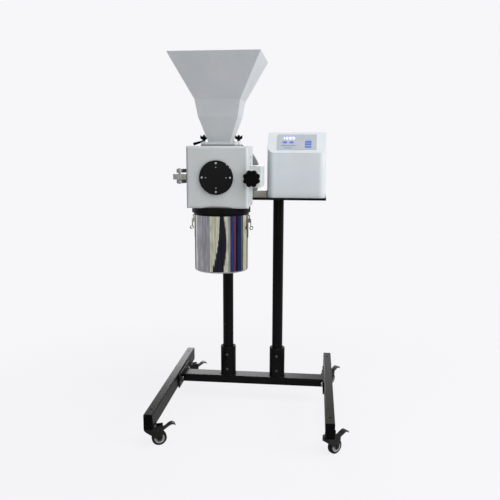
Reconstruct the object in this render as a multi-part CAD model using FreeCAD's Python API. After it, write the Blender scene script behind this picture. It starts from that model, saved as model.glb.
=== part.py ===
import FreeCAD, Part
import math
import os

# Analytical lab mill on a wheeled stand, in millimetres.
# X runs to the operator's right, Y away from the operator and Z up, with the floor at zero.
# While the pieces are made, X and Y are counted from the middle of the stand. At the end all
# pieces are moved together so that the origin lies on the floor below the middle of the whole.

# Fits and overruns used everywhere
running_fit = 0.05
sliding_fit = 0.15
free_gap = 0.3
door_gap = 0.5
cut_overrun = 1.0
plane_tolerance = 0.01
parallel_share = 0.999

# Casters
wheel_diameter = 50.0
wheel_width = 17.0
tyre_edge_radius = 4.0
hub_diameter = 34.0
hub_dish_depth = 2.5
hub_boss_diameter = 13.0
hub_rim_width = 4.0
axle_diameter = 6.0
axle_head_diameter = 10.0
axle_head_height = 2.0
caster_trail = 23.5
fork_side_gap = 1.5
fork_plate = 2.5
fork_top_plate = 5.7
fork_wheel_room = 1.5
fork_end_radius = 8.0
fork_nose_reach = 38.0
fork_heel_reach = 27.0
fork_heel_height = 56.0
fork_flank_height = 47.0
swivel_race_radius = 16.0
swivel_race_height = 5.0
stem_diameter = 10.0
stem_nut_width = 17.0
stem_nut_height = 8.0
stem_end_above_nut = 6.0
stem_head_diameter = 14.0
stem_head_height = 2.5
pedal_pivot_reach = 32.0
pedal_pivot_height = 54.5
pedal_pin_diameter = 5.0
pedal_reach = 78.0
pedal_thickness = 5.0
pedal_crest_height = 74.0
pedal_crest_reach = 66.0
pedal_middle_rise_share = 0.42
pedal_tip_height = 67.0
pedal_root_reach = 28.0
caster_angles = {"front_left": 22.0, "front_right": 43.0, "rear_left": 30.0, "rear_right": 52.0}
pedal_angles = {"front_left": 0.0, "front_right": 9.0, "rear_left": 4.0, "rear_right": 10.0}

# Stand
leg_clearance_above_floor = 75.0
leg_width = 30.0
leg_height = 52.0
leg_length = 680.0
leg_spacing = 584.0
tube_wall = 2.5
tube_corner_radius = 3.0
caster_inset = 42.0
top_hole_diameter = 8.0
end_cap_flange = 2.5
end_cap_plug = 12.0
beam_width = 60.0
beam_height = 30.0
beam_drop = 5.0
beam_centre_y = 131.0
end_plate_thickness = 5.0
end_plate_height = 50.0
end_plate_front_reach = 101.0
end_plate_back_reach = 69.0
end_plate_bolt_reaches = (-53.0, 57.0)
end_plate_bolt_rise = 21.0
column_diameter = 40.0
column_wall = 2.5
column_middle_x = -2.0
column_spacing = 192.0
column_plug = 20.0
socket_diameter = 58.5
socket_height = 115.0
socket_screw_rises = (28.0, 86.0)
socket_edge_chamfer = 1.5
plate_bolt_diameter = 8.0
plate_bolt_head_width = 13.0
plate_bolt_head_height = 5.5
plate_bolt_length = 24.0
socket_screw_diameter = 6.0
socket_screw_head_diameter = 10.0
socket_screw_head_height = 3.0
socket_screw_length = 13.0

# Platform
platform_top = 803.0
platform_thickness = 8.0
platform_left = -195.0
platform_right = 269.0
platform_front = 14.0
platform_depth = 244.0
platform_corner_radius = 8.0
platform_screw_diameter = 8.0
platform_screw_head_diameter = 15.0
platform_screw_head_height = 4.2
platform_screw_length = 18.0

# Mill housing and grinding chamber
mill_centre_x = -92.5
shaft_above_base = 53.0
housing_width = 207.0
housing_height = 201.5
housing_below_shaft = 98.0
housing_front = -127.0
housing_back = 0.0
housing_edge_radius = 12.0
chamber_radius = 84.0
rear_wall = 20.0
mill_axis_y = -64.0
throat_width = 66.0
outlet_width = 120.0
outlet_depth = 80.0
shaft_hole_radius = 15.0
liner_thickness = 3.5
liner_tooth_height = 3.0
liner_teeth = 9
liner_arc_degrees = 62.0
liner_start_degrees = (0.0, 118.0)
liner_front_setback = 4.0
sieve_thickness = 2.0
sieve_start_degrees = 184.0
sieve_end_degrees = 356.0
sieve_slots = 17
sieve_slot_width = 4.5
sieve_slot_length = 34.0
sieve_bridge = 12.0

# Rotor, shaft and bearings
shaft_diameter = 24.0
shaft_front = -92.0
shaft_back = 66.0
rotor_disc_radius = 70.0
rotor_disc_thickness = 8.0
rotor_back_gap = 6.0
rotor_beaters = 8
beater_length = 58.0
beater_radial = 22.0
beater_width = 12.0
beater_edge_taper = 3.0
rotor_hub_diameter = 46.0
rotor_hub_length = 44.0
rotor_nut_width = 30.0
rotor_nut_height = 9.0
bearing_outer_diameter = 52.0
bearing_width = 12.0
bearing_spacing = 15.0
bearing_lip = 3.0

# Outlet collar, bucket and its latches
collar_neck = 4.5
collar_disc_overhang = 8.5
collar_disc_height = 18.0
collar_ring_overhang = 1.5
collar_ring_height = 8.0
collar_ring_wall = 6.0
collar_neck_wall = 10.0
bucket_diameter = 185.0
bucket_height = 194.0
bucket_wall = 1.5
bucket_floor_radius = 6.0
latch_pivot_out = 6.0
latch_pivot_below_rim = 17.5
latch_crank = 9.0
latch_pin_radius = 1.5
latch_pin_boss = 2.7
latch_base_thickness = 1.5
latch_base_width = 16.0
latch_base_height = 72.0
latch_base_top_below_rim = 9.0
latch_ear_inner = 4.0
latch_ear_thickness = 1.2
lever_cheek_inner = 5.5
lever_cheek_thickness = 1.2
lever_plate_out = 3.4
lever_plate_thickness = 1.5
lever_plate_length = 27.0
lever_curl_radius = 6.0
lever_curl_wall = 1.3
loop_wire_radius = 1.0
loop_half_width = 7.9
loop_length = 23.4
keeper_width = 11.0
keeper_thickness = 1.5
keeper_lip_past_wire = 1.0
keeper_wire_gap = 0.7

# Door, its disc, hinge and clamp knob
door_thickness = 27.5
door_height = 205.0
door_below_shaft = 102.0
door_edge_radius = 9.0
disc_radius = 56.5
disc_thickness = 6.0
disc_edge_radius = 1.5
disc_centre_left = 2.5
disc_screw_circle = 47.0
disc_screw_diameter = 7.0
disc_screw_height = 1.6
disc_pin_circle = 34.0
disc_pin_diameter = 3.5
disc_pin_height = 0.5
disc_notch_angles = (36.0, 50.0)
disc_notch_width = 5.0
disc_notch_depth = 3.0
hinge_pin_out = 24.0
hinge_pin_behind_door_front = 10.0
hinge_pin_radius = 4.0
hinge_leaf_below_shaft = 27.0
hinge_ear_radius = 9.5
hinge_ear_height = 12.5
hinge_leaf_height = 55.0
hinge_leaf_thickness = 3.0
hinge_leaf_length = 34.0
hinge_leaf_setback = 7.0
hinge_arm_below_shaft = 7.0
hinge_arm_height = 18.0
hinge_arm_tail = 20.0
hinge_arm_depth = 20.0
hinge_pin_head = 2.0
latch_block_width = 40.5
latch_block_height = 71.0
latch_block_below_shaft = 33.0
latch_block_back = -2.0
latch_block_edge_radius = 3.0
knob_out = 13.0
knob_below_shaft = 2.0
knob_radius = 28.5
knob_lobes = 8
knob_lobe_depth = 5.0
knob_lobe_fullness_share = 0.6
knob_points_per_lobe = 8
knob_thickness = 23.0
knob_front_clearance = 5.0
knob_hub_radius = 11.0
knob_edge_radius = 3.0
stud_diameter = 10.0
stud_engagement = 10.0
stud_hole_clearance = 2.0
stud_hole_extra_depth = 3.0
ear_half_height = 24.0
ear_reach = 33.0
ear_thickness = 12.5
ear_corner_radius = 10.0

# Hopper, slide gate and clamp knobs
gate_frame_height = 5.0
flange_half_width = 59.0
flange_thickness = 7.5
flange_corner_radius = 4.0
clamp_ear_reach = 7.0
clamp_ear_half_width = 9.0
gate_blade_thickness = 2.0
gate_blade_half_depth = 44.0
gate_blade_half_length = 44.0
gate_tab_width = 12.0
gate_tab_gap = 1.5
gate_tab_forward = 16.0
gate_tab_height = 19.5
grip_length = 31.0
grip_radius = 5.0
grip_end_radius = 3.4
grip_tilt = 16.0
grip_start_rise = 14.4
hopper_wall = 2.0
hopper_neck_half = 37.0
hopper_bend_2_half = 65.5
hopper_bend_1_half = 75.5
hopper_rim_half = 148.5
hopper_front_share = 1.01
hopper_back_share = 0.9
hopper_bend_2_rise = 82.0
hopper_bend_1_rise = 138.5
hopper_rim_rise = 278.5
clamp_stud_diameter = 5.0
clamp_stud_offset = 60.0
clamp_stud_back = 8.0
clamp_stud_above_flange = 26.5
clamp_washer_radius = 5.0
clamp_washer_height = 1.5
clamp_knob_lift = 3.5
clamp_knob_hub_radius = 4.2
clamp_knob_base_radius = 5.4
clamp_knob_height = 19.0
clamp_wing_start_rise = 3.5
clamp_wing_low_rise = 8.0
clamp_wing_reach = 12.5
clamp_wing_thickness = 5.0
clamp_wing_dip = 5.0

# Motor on its bracket and base
motor_base_left = -195.0
motor_base_right = 56.0
motor_base_front = 30.0
motor_base_depth = 40.0
motor_base_height = 24.0
motor_base_groove = 3.0
motor_base_groove_rise = 7.5
bracket_radius = 125.5
bracket_front = 22.0
bracket_thickness = 25.0
bracket_boss_radius = 90.0
bracket_foot_height = 10.0
bracket_foot_half_width = 100.0
motor_radius = 66.0
motor_fin_height = 6.0
motor_fin_width = 3.5
motor_fins = 12
motor_length = 160.0
motor_end_shield = 12.0
cowl_radius = 74.0
cowl_length = 45.0
cowl_wall = 2.0
cowl_edge_radius = 6.0
cowl_slot_inner = 24.0
cowl_slot_outer = 62.0
cowl_slots = 10
cowl_slot_width = 5.0
terminal_box_width = 44.0
terminal_box_height = 70.0
terminal_box_length = 80.0
terminal_box_setback = 35.0
terminal_box_radius = 6.0

# Control box
control_left = 58.0
control_right = 265.5
control_front = 22.0
control_depth = 210.0
control_height = 231.0
control_knee_height = 159.0
control_slope_depth = 65.0
control_wall = 3.0
control_edge_radius = 24.0
control_top_radius = 5.0
vent_slots = 9
vent_slot_width = 3.0
vent_slot_length = 60.0
vent_slot_pitch = 8.0
vent_setback = 126.0
panel_left = 33.5
panel_width = 140.5
panel_low = 13.0
panel_height = 73.0
panel_thickness = 1.2
panel_corner_radius = 4.0
display_left = 52.0
display_width = 46.0
display_low = 61.0
display_height = 14.6
display_depth = 0.6
key_height = 7.5
key_stand_proud = 1.4
key_depth_below = 1.4
key_corner_radius = 1.6
key_pocket_depth = 2.6
keys = {
    "key_left": (61.6, 47.5, 14.5),
    "key_right": (85.1, 47.5, 14.5),
    "key_top": (144.4, 50.4, 22.6),
    "key_middle": (144.4, 38.4, 22.6),
    "key_bottom": (144.4, 26.4, 22.6),
}
inlet_width = 50.0
inlet_height = 28.0
inlet_depth = 16.0
inlet_rise = 26.0
inlet_from_left = 55.0
inlet_flange = 3.0
inlet_lip = 4.0
inlet_pin_width = 2.0
inlet_pin_height = 6.0
inlet_pin_spacing = 12.0
inlet_pin_setback = 2.0

# Places worked out from the sizes above
leg_bottom = leg_clearance_above_floor
leg_top = leg_bottom + leg_height
caster_y = leg_length / 2 - caster_inset
beam_bottom = leg_bottom - beam_drop
beam_top = beam_bottom + beam_height
platform_bottom = platform_top - platform_thickness
shaft_height = platform_top + motor_base_height + shaft_above_base
housing_bottom = shaft_height - housing_below_shaft
housing_top = housing_bottom + housing_height
housing_left = mill_centre_x - housing_width / 2
housing_right = mill_centre_x + housing_width / 2
door_back = housing_front - door_gap
door_front = door_back - door_thickness
door_bottom = shaft_height - door_below_shaft
latch_block_bottom = shaft_height - latch_block_below_shaft
hinge_leaf_bottom = shaft_height - hinge_leaf_below_shaft
hinge_arm_bottom = shaft_height - hinge_arm_below_shaft
knob_height = shaft_height - knob_below_shaft
collar_top = housing_bottom - collar_neck
collar_disc_radius = bucket_diameter / 2 + collar_disc_overhang
collar_ring_radius = bucket_diameter / 2 + collar_ring_overhang
bucket_rim = collar_top - collar_disc_height - collar_ring_height - free_gap
bucket_bottom = bucket_rim - bucket_height
hinge_x = housing_left - hinge_pin_out
hinge_y = door_front + hinge_pin_behind_door_front
knob_x = housing_right + knob_out
gate_frame_bottom = housing_top
flange_bottom = gate_frame_bottom + gate_frame_height
flange_top = flange_bottom + flange_thickness
slope_rise = control_height - control_knee_height
slope_angle = math.degrees(math.atan2(slope_rise, control_slope_depth))
latch_pivot_z = bucket_rim - latch_pivot_below_rim
fork_top = leg_bottom - swivel_race_height - free_gap
blade_bottom = gate_frame_bottom + free_gap
clamp_knob_bottom = flange_top + clamp_washer_height + clamp_knob_lift


def vec(x, y, z):
    return FreeCAD.Vector(x, y, z)


AXIS_X = vec(1, 0, 0)
AXIS_Y = vec(0, 1, 0)
AXIS_Z = vec(0, 0, 1)


def box(x_low, x_high, y_low, y_high, z_low, z_high):
    """A block between two corners."""
    return Part.makeBox(x_high - x_low, y_high - y_low, z_high - z_low, vec(x_low, y_low, z_low))


def rod(radius, start, direction, length):
    """A round bar from a start point."""
    return Part.makeCylinder(radius, length, start, direction)


def ring(outer, inner, start, direction, length):
    """A round tube from a start point."""
    bore_start = start - direction * cut_overrun
    return rod(outer, start, direction, length).cut(
        rod(inner, bore_start, direction, length + 2 * cut_overrun))


def hex_bar(width, start, direction, length):
    """A six-sided bar, such as a nut or a bolt head, with its width across flats."""
    corner = width / math.sqrt(3)
    points = [vec(corner * math.cos(math.radians(60 * n)), corner * math.sin(math.radians(60 * n)), 0)
              for n in range(6)]
    face = Part.Face(Part.makePolygon(points + points[:1]))
    bar = face.extrude(AXIS_Z * length)
    bar.Placement = FreeCAD.Placement(start, FreeCAD.Rotation(AXIS_Z, direction))
    return bar


def outline(points, direction):
    """A flat closed outline pushed out along a vector."""
    return Part.Face(Part.makePolygon(points + points[:1])).extrude(direction)


def edges_along(shape, axis):
    """The straight edges that run along an axis."""
    found = []
    for edge in shape.Edges:
        if isinstance(edge.Curve, (Part.Line, Part.LineSegment)):
            run = edge.Vertexes[1].Point - edge.Vertexes[0].Point
            if run.Length > 0 and abs(run.normalize().dot(axis)) > parallel_share:
                found.append(edge)
    return found


def edges_at(shape, axis, place):
    """The edges that lie in a plane square to an axis."""
    return [edge for edge in shape.Edges
            if all(abs(vertex.Point.dot(axis) - place) < plane_tolerance for vertex in edge.Vertexes)]


def rounded_box(x_low, x_high, y_low, y_high, z_low, z_high, radius, axis):
    """A block whose edges along one axis are rounded."""
    block = box(x_low, x_high, y_low, y_high, z_low, z_high)
    return block.makeFillet(radius, edges_along(block, axis))


def joined(pieces):
    """One solid from several that meet or overlap."""
    whole = pieces[0]
    for piece in pieces[1:]:
        whole = whole.fuse(piece)
    return whole.removeSplitter()


def group(solids):
    """Separate solids kept together in one node."""
    return Part.makeCompound(solids)


# Side legs, beam and columns

def side_leg(side):
    """A rectangular tube along Y, with holes for the caster stems and the beam's bolts."""
    x = side * leg_spacing / 2
    half = leg_width / 2
    ends = leg_length / 2
    tube = rounded_box(x - half, x + half, -ends, ends, leg_bottom, leg_top, tube_corner_radius, AXIS_Y)
    bore = rounded_box(x - half + tube_wall, x + half - tube_wall, -ends - cut_overrun, ends + cut_overrun,
                       leg_bottom + tube_wall, leg_top - tube_wall,
                       tube_corner_radius / 2, AXIS_Y)
    tube = tube.cut(bore)
    for end in (-1, 1):
        low = vec(x, end * caster_y, leg_bottom - cut_overrun)
        tube = tube.cut(rod(stem_diameter / 2 + sliding_fit, low, AXIS_Z, tube_wall + 2 * cut_overrun))
        high = vec(x, end * caster_y, leg_top - tube_wall - cut_overrun)
        tube = tube.cut(rod(top_hole_diameter / 2, high, AXIS_Z, tube_wall + 2 * cut_overrun))
    for place in end_plate_bolt_places():
        start = vec(side * (leg_spacing / 2 - half - cut_overrun), place, beam_bottom + end_plate_bolt_rise)
        tube = tube.cut(rod(plate_bolt_diameter / 2 + sliding_fit, start, AXIS_X * side,
                            tube_wall + 2 * cut_overrun))
    return tube


def end_plate_bolt_places():
    return [beam_centre_y + reach for reach in end_plate_bolt_reaches]


def leg_end_caps():
    """Four moulded plugs in the open ends of the side legs."""
    caps = []
    for side in (-1, 1):
        for end in (-1, 1):
            x = side * leg_spacing / 2
            half = leg_width / 2
            face = end * leg_length / 2
            outer = face + end * end_cap_flange
            flange = rounded_box(x - half, x + half, min(face, outer), max(face, outer),
                                 leg_bottom, leg_top, tube_corner_radius, AXIS_Y)
            inner = face - end * end_cap_plug
            inset = tube_wall + sliding_fit
            plug = rounded_box(x - half + inset, x + half - inset, min(face, inner), max(face, inner),
                               leg_bottom + inset, leg_top - inset, tube_corner_radius / 2, AXIS_Y)
            caps.append(joined([flange, plug]))
    return group(caps)


def beam_inner_end():
    return leg_spacing / 2 - leg_width / 2


def cross_beam():
    """A flat rectangular tube between two bolted end plates."""
    reach = beam_inner_end() - end_plate_thickness
    y_low = beam_centre_y - beam_width / 2
    y_high = beam_centre_y + beam_width / 2
    tube = rounded_box(-reach, reach, y_low, y_high, beam_bottom, beam_top, tube_corner_radius, AXIS_X)
    bore = rounded_box(-reach - cut_overrun, reach + cut_overrun, y_low + tube_wall, y_high - tube_wall,
                       beam_bottom + tube_wall, beam_top - tube_wall, tube_corner_radius / 2, AXIS_X)
    pieces = [tube.cut(bore)]
    for side in (-1, 1):
        ends = sorted((side * reach, side * (reach + end_plate_thickness)))
        plate = box(ends[0], ends[1], beam_centre_y - end_plate_front_reach,
                    beam_centre_y + end_plate_back_reach, beam_bottom, beam_bottom + end_plate_height)
        for place in end_plate_bolt_places():
            start = vec(ends[0] - cut_overrun, place, beam_bottom + end_plate_bolt_rise)
            plate = plate.cut(rod(plate_bolt_diameter / 2 + sliding_fit, start, AXIS_X,
                                  end_plate_thickness + 2 * cut_overrun))
        pieces.append(plate)
    beam = joined(pieces)
    return beam


def column_places():
    return (column_middle_x - column_spacing / 2, column_middle_x + column_spacing / 2)


def column_sockets():
    """Thick sleeves on the beam that hold the column feet, with holes for two screws each."""
    sleeves = []
    for x in column_places():
        sleeve = rod(socket_diameter / 2, vec(x, beam_centre_y, beam_top), AXIS_Z, socket_height)
        sleeve = sleeve.makeChamfer(socket_edge_chamfer, edges_at(sleeve, AXIS_Z, beam_top + socket_height))
        bore_start = vec(x, beam_centre_y, beam_top - cut_overrun)
        sleeve = sleeve.cut(rod(column_diameter / 2 + sliding_fit, bore_start, AXIS_Z,
                                socket_height + 2 * cut_overrun))
        for rise in socket_screw_rises:
            start = vec(x, beam_centre_y - socket_diameter / 2 - cut_overrun, beam_top + rise)
            sleeve = sleeve.cut(rod(socket_screw_diameter / 2 + sliding_fit, start, AXIS_Y,
                                    socket_diameter / 2))
        sleeves.append(sleeve)
    return group(sleeves)


def columns():
    """Two round tubes, each closed at the top by a threaded plug."""
    tubes = []
    length = platform_bottom - beam_top
    for x in column_places():
        tube = rod(column_diameter / 2, vec(x, beam_centre_y, beam_top), AXIS_Z, length)
        bore = rod(column_diameter / 2 - column_wall, vec(x, beam_centre_y, beam_top - cut_overrun),
                   AXIS_Z, length - column_plug + cut_overrun)
        tube = tube.cut(bore)
        for rise in socket_screw_rises:
            start = vec(x, beam_centre_y - socket_diameter / 2, beam_top + rise)
            tube = tube.cut(rod(socket_screw_diameter / 2 + sliding_fit, start, AXIS_Y,
                                socket_diameter / 2))
        start = vec(x, beam_centre_y, platform_bottom - platform_screw_length - cut_overrun)
        tube = tube.cut(rod(platform_screw_diameter / 2 + sliding_fit, start, AXIS_Z,
                            platform_screw_length + 2 * cut_overrun))
        tubes.append(tube)
    return group(tubes)


def stand_bolts():
    """The beam's hex bolts, the socket screws and the platform's countersunk screws."""
    bolts = []
    face = beam_inner_end() - end_plate_thickness
    for side in (-1, 1):
        for place in end_plate_bolt_places():
            z = beam_bottom + end_plate_bolt_rise
            head = hex_bar(plate_bolt_head_width, vec(side * face, place, z), AXIS_X * -side,
                           plate_bolt_head_height)
            shank = rod(plate_bolt_diameter / 2, vec(side * face, place, z), AXIS_X * side,
                        plate_bolt_length)
            bolts.append(joined([head, shank]))
    for x in column_places():
        for rise in socket_screw_rises:
            start = vec(x, beam_centre_y - socket_diameter / 2 - socket_screw_head_height, beam_top + rise)
            head = rod(socket_screw_head_diameter / 2, start, AXIS_Y,
                       socket_screw_head_height + socket_screw_diameter / 2)
            shank = rod(socket_screw_diameter / 2, start, AXIS_Y,
                        socket_screw_length + socket_screw_head_height)
            bore = rod(socket_diameter / 2, vec(x, beam_centre_y, beam_top), AXIS_Z, socket_height)
            bolts.append(joined([head.cut(bore), shank]))
        top = vec(x, beam_centre_y, platform_top)
        head = rod(platform_screw_head_diameter / 2, top, AXIS_Z * -1, platform_screw_head_height)
        shank = rod(platform_screw_diameter / 2, top, AXIS_Z * -1, platform_thickness + platform_screw_length)
        bolts.append(joined([head, shank]))
    return group(bolts)


def platform_plate():
    """The flat plate on the columns that carries the motor base and the control box."""
    plate = rounded_box(platform_left, platform_right, platform_front, platform_front + platform_depth,
                        platform_bottom, platform_top, platform_corner_radius, AXIS_Z)
    for x in column_places():
        seat = rod(platform_screw_head_diameter / 2 + sliding_fit,
                   vec(x, beam_centre_y, platform_top - platform_screw_head_height), AXIS_Z,
                   platform_screw_head_height + cut_overrun)
        hole = rod(platform_screw_diameter / 2 + sliding_fit,
                   vec(x, beam_centre_y, platform_bottom - cut_overrun), AXIS_Z,
                   platform_thickness + 2 * cut_overrun)
        plate = plate.cut(seat).cut(hole)
    return plate


# Casters, each made about its swivel axis with the wheel trailing along X

def caster_base(name):
    """Where a caster's swivel axis meets the floor."""
    x = leg_spacing / 2 * (-1 if name.endswith("left") else 1)
    y = caster_y * (-1 if name.startswith("front") else 1)
    return vec(x, y, 0)


def set_caster(shape, name):
    """Turns a piece made at the origin to the caster's stored angle and puts it below its leg."""
    placed = shape.copy()
    placed.rotate(vec(0, 0, 0), AXIS_Z, caster_angles[name])
    placed.translate(caster_base(name))
    return placed


def caster_stem():
    """A stem with its race below the leg and its nut inside the leg."""
    race = rod(swivel_race_radius, vec(0, 0, leg_bottom - swivel_race_height), AXIS_Z, swivel_race_height)
    low = fork_top - fork_top_plate - running_fit - stem_head_height
    head = rod(stem_head_diameter / 2, vec(0, 0, low), AXIS_Z, stem_head_height)
    nut_bottom = leg_bottom + tube_wall
    nut = hex_bar(stem_nut_width, vec(0, 0, nut_bottom), AXIS_Z, stem_nut_height)
    shank = rod(stem_diameter / 2, vec(0, 0, low), AXIS_Z,
                nut_bottom + stem_nut_height + stem_end_above_nut - low)
    return joined([race, head, nut, shank])


def fork_half_gap():
    return wheel_width / 2 + fork_side_gap


def caster_fork():
    """A fork with a rounded heel behind the stem, two tapered cheeks and the wheel's axle."""
    half = fork_half_gap()
    outer = half + fork_plate
    low = fork_top - fork_top_plate
    axle_z = wheel_diameter / 2
    points = [vec(-fork_heel_reach, -outer, fork_top), vec(fork_nose_reach, -outer, fork_top),
              vec(fork_nose_reach, -outer, fork_flank_height),
              vec(caster_trail + fork_end_radius, -outer, axle_z),
              vec(caster_trail - fork_end_radius, -outer, axle_z),
              vec(-fork_heel_reach, -outer, fork_heel_height)]
    flanks = outline(points, AXIS_Y * (2 * outer))
    heel_x = outer - fork_heel_reach
    plan = joined([box(heel_x, fork_nose_reach, -outer, outer, 0, fork_top),
                   rod(outer, vec(heel_x, 0, 0), AXIS_Z, fork_top)])
    feet = rod(fork_end_radius, vec(caster_trail, -outer, axle_z), AXIS_Y, 2 * outer)
    body = joined([flanks.common(plan), feet])
    body = body.cut(rod(wheel_diameter / 2 + fork_wheel_room, vec(caster_trail, -half, axle_z), AXIS_Y,
                        2 * half))
    body = body.cut(box(swivel_race_radius, fork_nose_reach + cut_overrun, -half, half,
                        0, fork_top + cut_overrun))
    body = body.cut(rod(stem_head_diameter / 2 + free_gap, vec(0, 0, axle_z), AXIS_Z, low - axle_z))
    body = body.cut(rod(stem_diameter / 2 + running_fit, vec(0, 0, low - cut_overrun), AXIS_Z,
                        fork_top_plate + 2 * cut_overrun))
    span = 2 * (outer + axle_head_height)
    axle = rod(axle_diameter / 2, vec(caster_trail, -span / 2, axle_z), AXIS_Y, span)
    heads = [rod(axle_head_diameter / 2, vec(caster_trail, side * outer, axle_z), AXIS_Y * side,
                 axle_head_height) for side in (-1, 1)]
    pin = rod(pedal_pin_diameter / 2, vec(pedal_pivot_reach, -outer, pedal_pivot_height), AXIS_Y, 2 * outer)
    return joined([body, axle, pin] + heads)


def caster_wheel():
    """A rubber tyre on a moulded hub with dished faces, both on the axle's line."""
    half = wheel_width / 2
    centre = vec(caster_trail, 0, wheel_diameter / 2)
    tyre = rod(wheel_diameter / 2, centre - AXIS_Y * half, AXIS_Y, wheel_width)
    tyre = tyre.makeFillet(tyre_edge_radius, edges_at(tyre, AXIS_Y, -half) + edges_at(tyre, AXIS_Y, half))
    tyre = tyre.cut(rod(hub_diameter / 2, centre - AXIS_Y * (half + cut_overrun), AXIS_Y,
                        wheel_width + 2 * cut_overrun))
    hub = rod(hub_diameter / 2, centre - AXIS_Y * half, AXIS_Y, wheel_width)
    for side in (-1, 1):
        face = centre + AXIS_Y * (side * half)
        dish = ring(hub_diameter / 2 - hub_rim_width, hub_boss_diameter / 2,
                    face - AXIS_Y * (side * hub_dish_depth), AXIS_Y * side, hub_dish_depth + cut_overrun)
        hub = hub.cut(dish)
    hub = hub.cut(rod(axle_diameter / 2 + running_fit, centre - AXIS_Y * (half + cut_overrun), AXIS_Y,
                      wheel_width + 2 * cut_overrun))
    return group([tyre, hub])


def caster_pedal(pressed_degrees):
    """The brake pedal: a curved tread that rises over the wheel and curls down at its tip."""
    half = fork_half_gap() - free_gap
    z_root = pedal_pivot_height
    crest = pedal_crest_height
    tip = pedal_tip_height
    middle = (pedal_pivot_reach + pedal_crest_reach) / 2
    z_middle = z_root + (crest - z_root) * pedal_middle_rise_share
    top = [vec(pedal_root_reach, -half, z_root + pedal_thickness / 2),
           vec(middle, -half, z_middle + pedal_thickness / 2),
           vec(pedal_crest_reach, -half, crest),
           vec(pedal_reach, -half, tip)]
    low = [vec(pedal_reach, -half, tip - pedal_thickness / 2),
           vec(pedal_crest_reach, -half, crest - pedal_thickness),
           vec(middle, -half, z_middle - pedal_thickness / 2),
           vec(pedal_root_reach, -half, z_root - pedal_thickness / 2)]
    upper = Part.BSplineCurve()
    upper.interpolate(top)
    lower = Part.BSplineCurve()
    lower.interpolate(low)
    wire = Part.Wire([upper.toShape(), Part.makeLine(top[-1], low[0]), lower.toShape(),
                      Part.makeLine(low[-1], top[0])])
    tread = Part.Face(wire).extrude(AXIS_Y * (2 * half))
    boss = rod(pedal_pin_diameter / 2 + pedal_thickness / 2, vec(pedal_pivot_reach, -half, z_root),
               AXIS_Y, 2 * half)
    hole = rod(pedal_pin_diameter / 2 + running_fit, vec(pedal_pivot_reach, -half - cut_overrun, z_root),
               AXIS_Y, 2 * half + 2 * cut_overrun)
    pedal = joined([tread, boss]).cut(hole)
    pedal.rotate(vec(pedal_pivot_reach, 0, z_root), AXIS_Y, pressed_degrees)
    return pedal


# Mill housing, chamber lining, rotor and shaft

def shaft_point(y):
    return vec(mill_centre_x, y, shaft_height)


def housing():
    """A cast box with a round grinding chamber open at the front, a throat above and an outlet below."""
    body = box(housing_left, housing_right, housing_front, housing_back, housing_bottom, housing_top)
    rear_edges = [edge for edge in edges_along(body, AXIS_Z)
                  if abs(edge.Vertexes[0].Point.y - housing_back) < plane_tolerance]
    body = body.makeFillet(housing_edge_radius, rear_edges)
    body = body.cut(rod(chamber_radius, shaft_point(housing_front - cut_overrun), AXIS_Y,
                        housing_back - rear_wall - housing_front + cut_overrun))
    body = body.cut(rod(shaft_hole_radius, shaft_point(housing_back - rear_wall - cut_overrun), AXIS_Y,
                        rear_wall + 2 * cut_overrun))
    half = throat_width / 2
    body = body.cut(box(mill_centre_x - half, mill_centre_x + half, mill_axis_y - half, mill_axis_y + half,
                        shaft_height, housing_top + cut_overrun))
    body = body.cut(box(mill_centre_x - outlet_width / 2, mill_centre_x + outlet_width / 2,
                        mill_axis_y - outlet_depth / 2, mill_axis_y + outlet_depth / 2,
                        housing_bottom - cut_overrun, shaft_height))
    return body


def polar(radius, degrees, y):
    """A point about the shaft, with zero degrees to the right and ninety straight up."""
    turn = math.radians(degrees)
    return vec(mill_centre_x + radius * math.cos(turn), y, shaft_height + radius * math.sin(turn))


def arc_segment(outer, inner, start, end, y_low, length):
    """A curved bar about the shaft between two angles."""
    middle = (start + end) / 2
    wire = Part.Wire([
        Part.Arc(polar(outer, start, y_low), polar(outer, middle, y_low), polar(outer, end, y_low)).toShape(),
        Part.makeLine(polar(outer, end, y_low), polar(inner, end, y_low)),
        Part.Arc(polar(inner, end, y_low), polar(inner, middle, y_low), polar(inner, start, y_low)).toShape(),
        Part.makeLine(polar(inner, start, y_low), polar(outer, start, y_low))])
    return Part.Face(wire).extrude(AXIS_Y * length)


def grinding_liner():
    """Two toothed liners in the upper half of the chamber, left and right of the throat."""
    outer = chamber_radius - running_fit
    base = outer - liner_thickness
    y_low = housing_front + liner_front_setback
    length = housing_back - rear_wall - y_low
    pitch = liner_arc_degrees / liner_teeth
    liners = []
    for start in liner_start_degrees:
        end = start + liner_arc_degrees
        wire_edges = [Part.Arc(polar(outer, start, y_low), polar(outer, (start + end) / 2, y_low),
                               polar(outer, end, y_low)).toShape()]
        inner = []
        for tooth in range(liner_teeth):
            inner.append(polar(base, end - tooth * pitch, y_low))
            inner.append(polar(base - liner_tooth_height, end - (tooth + 0.5) * pitch, y_low))
        inner.append(polar(base, start, y_low))
        path = [polar(outer, end, y_low)] + inner + [polar(outer, start, y_low)]
        wire_edges += [Part.makeLine(path[n], path[n + 1]) for n in range(len(path) - 1)]
        liners.append(Part.Face(Part.Wire(wire_edges)).extrude(AXIS_Y * length))
    return group(liners)


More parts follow.
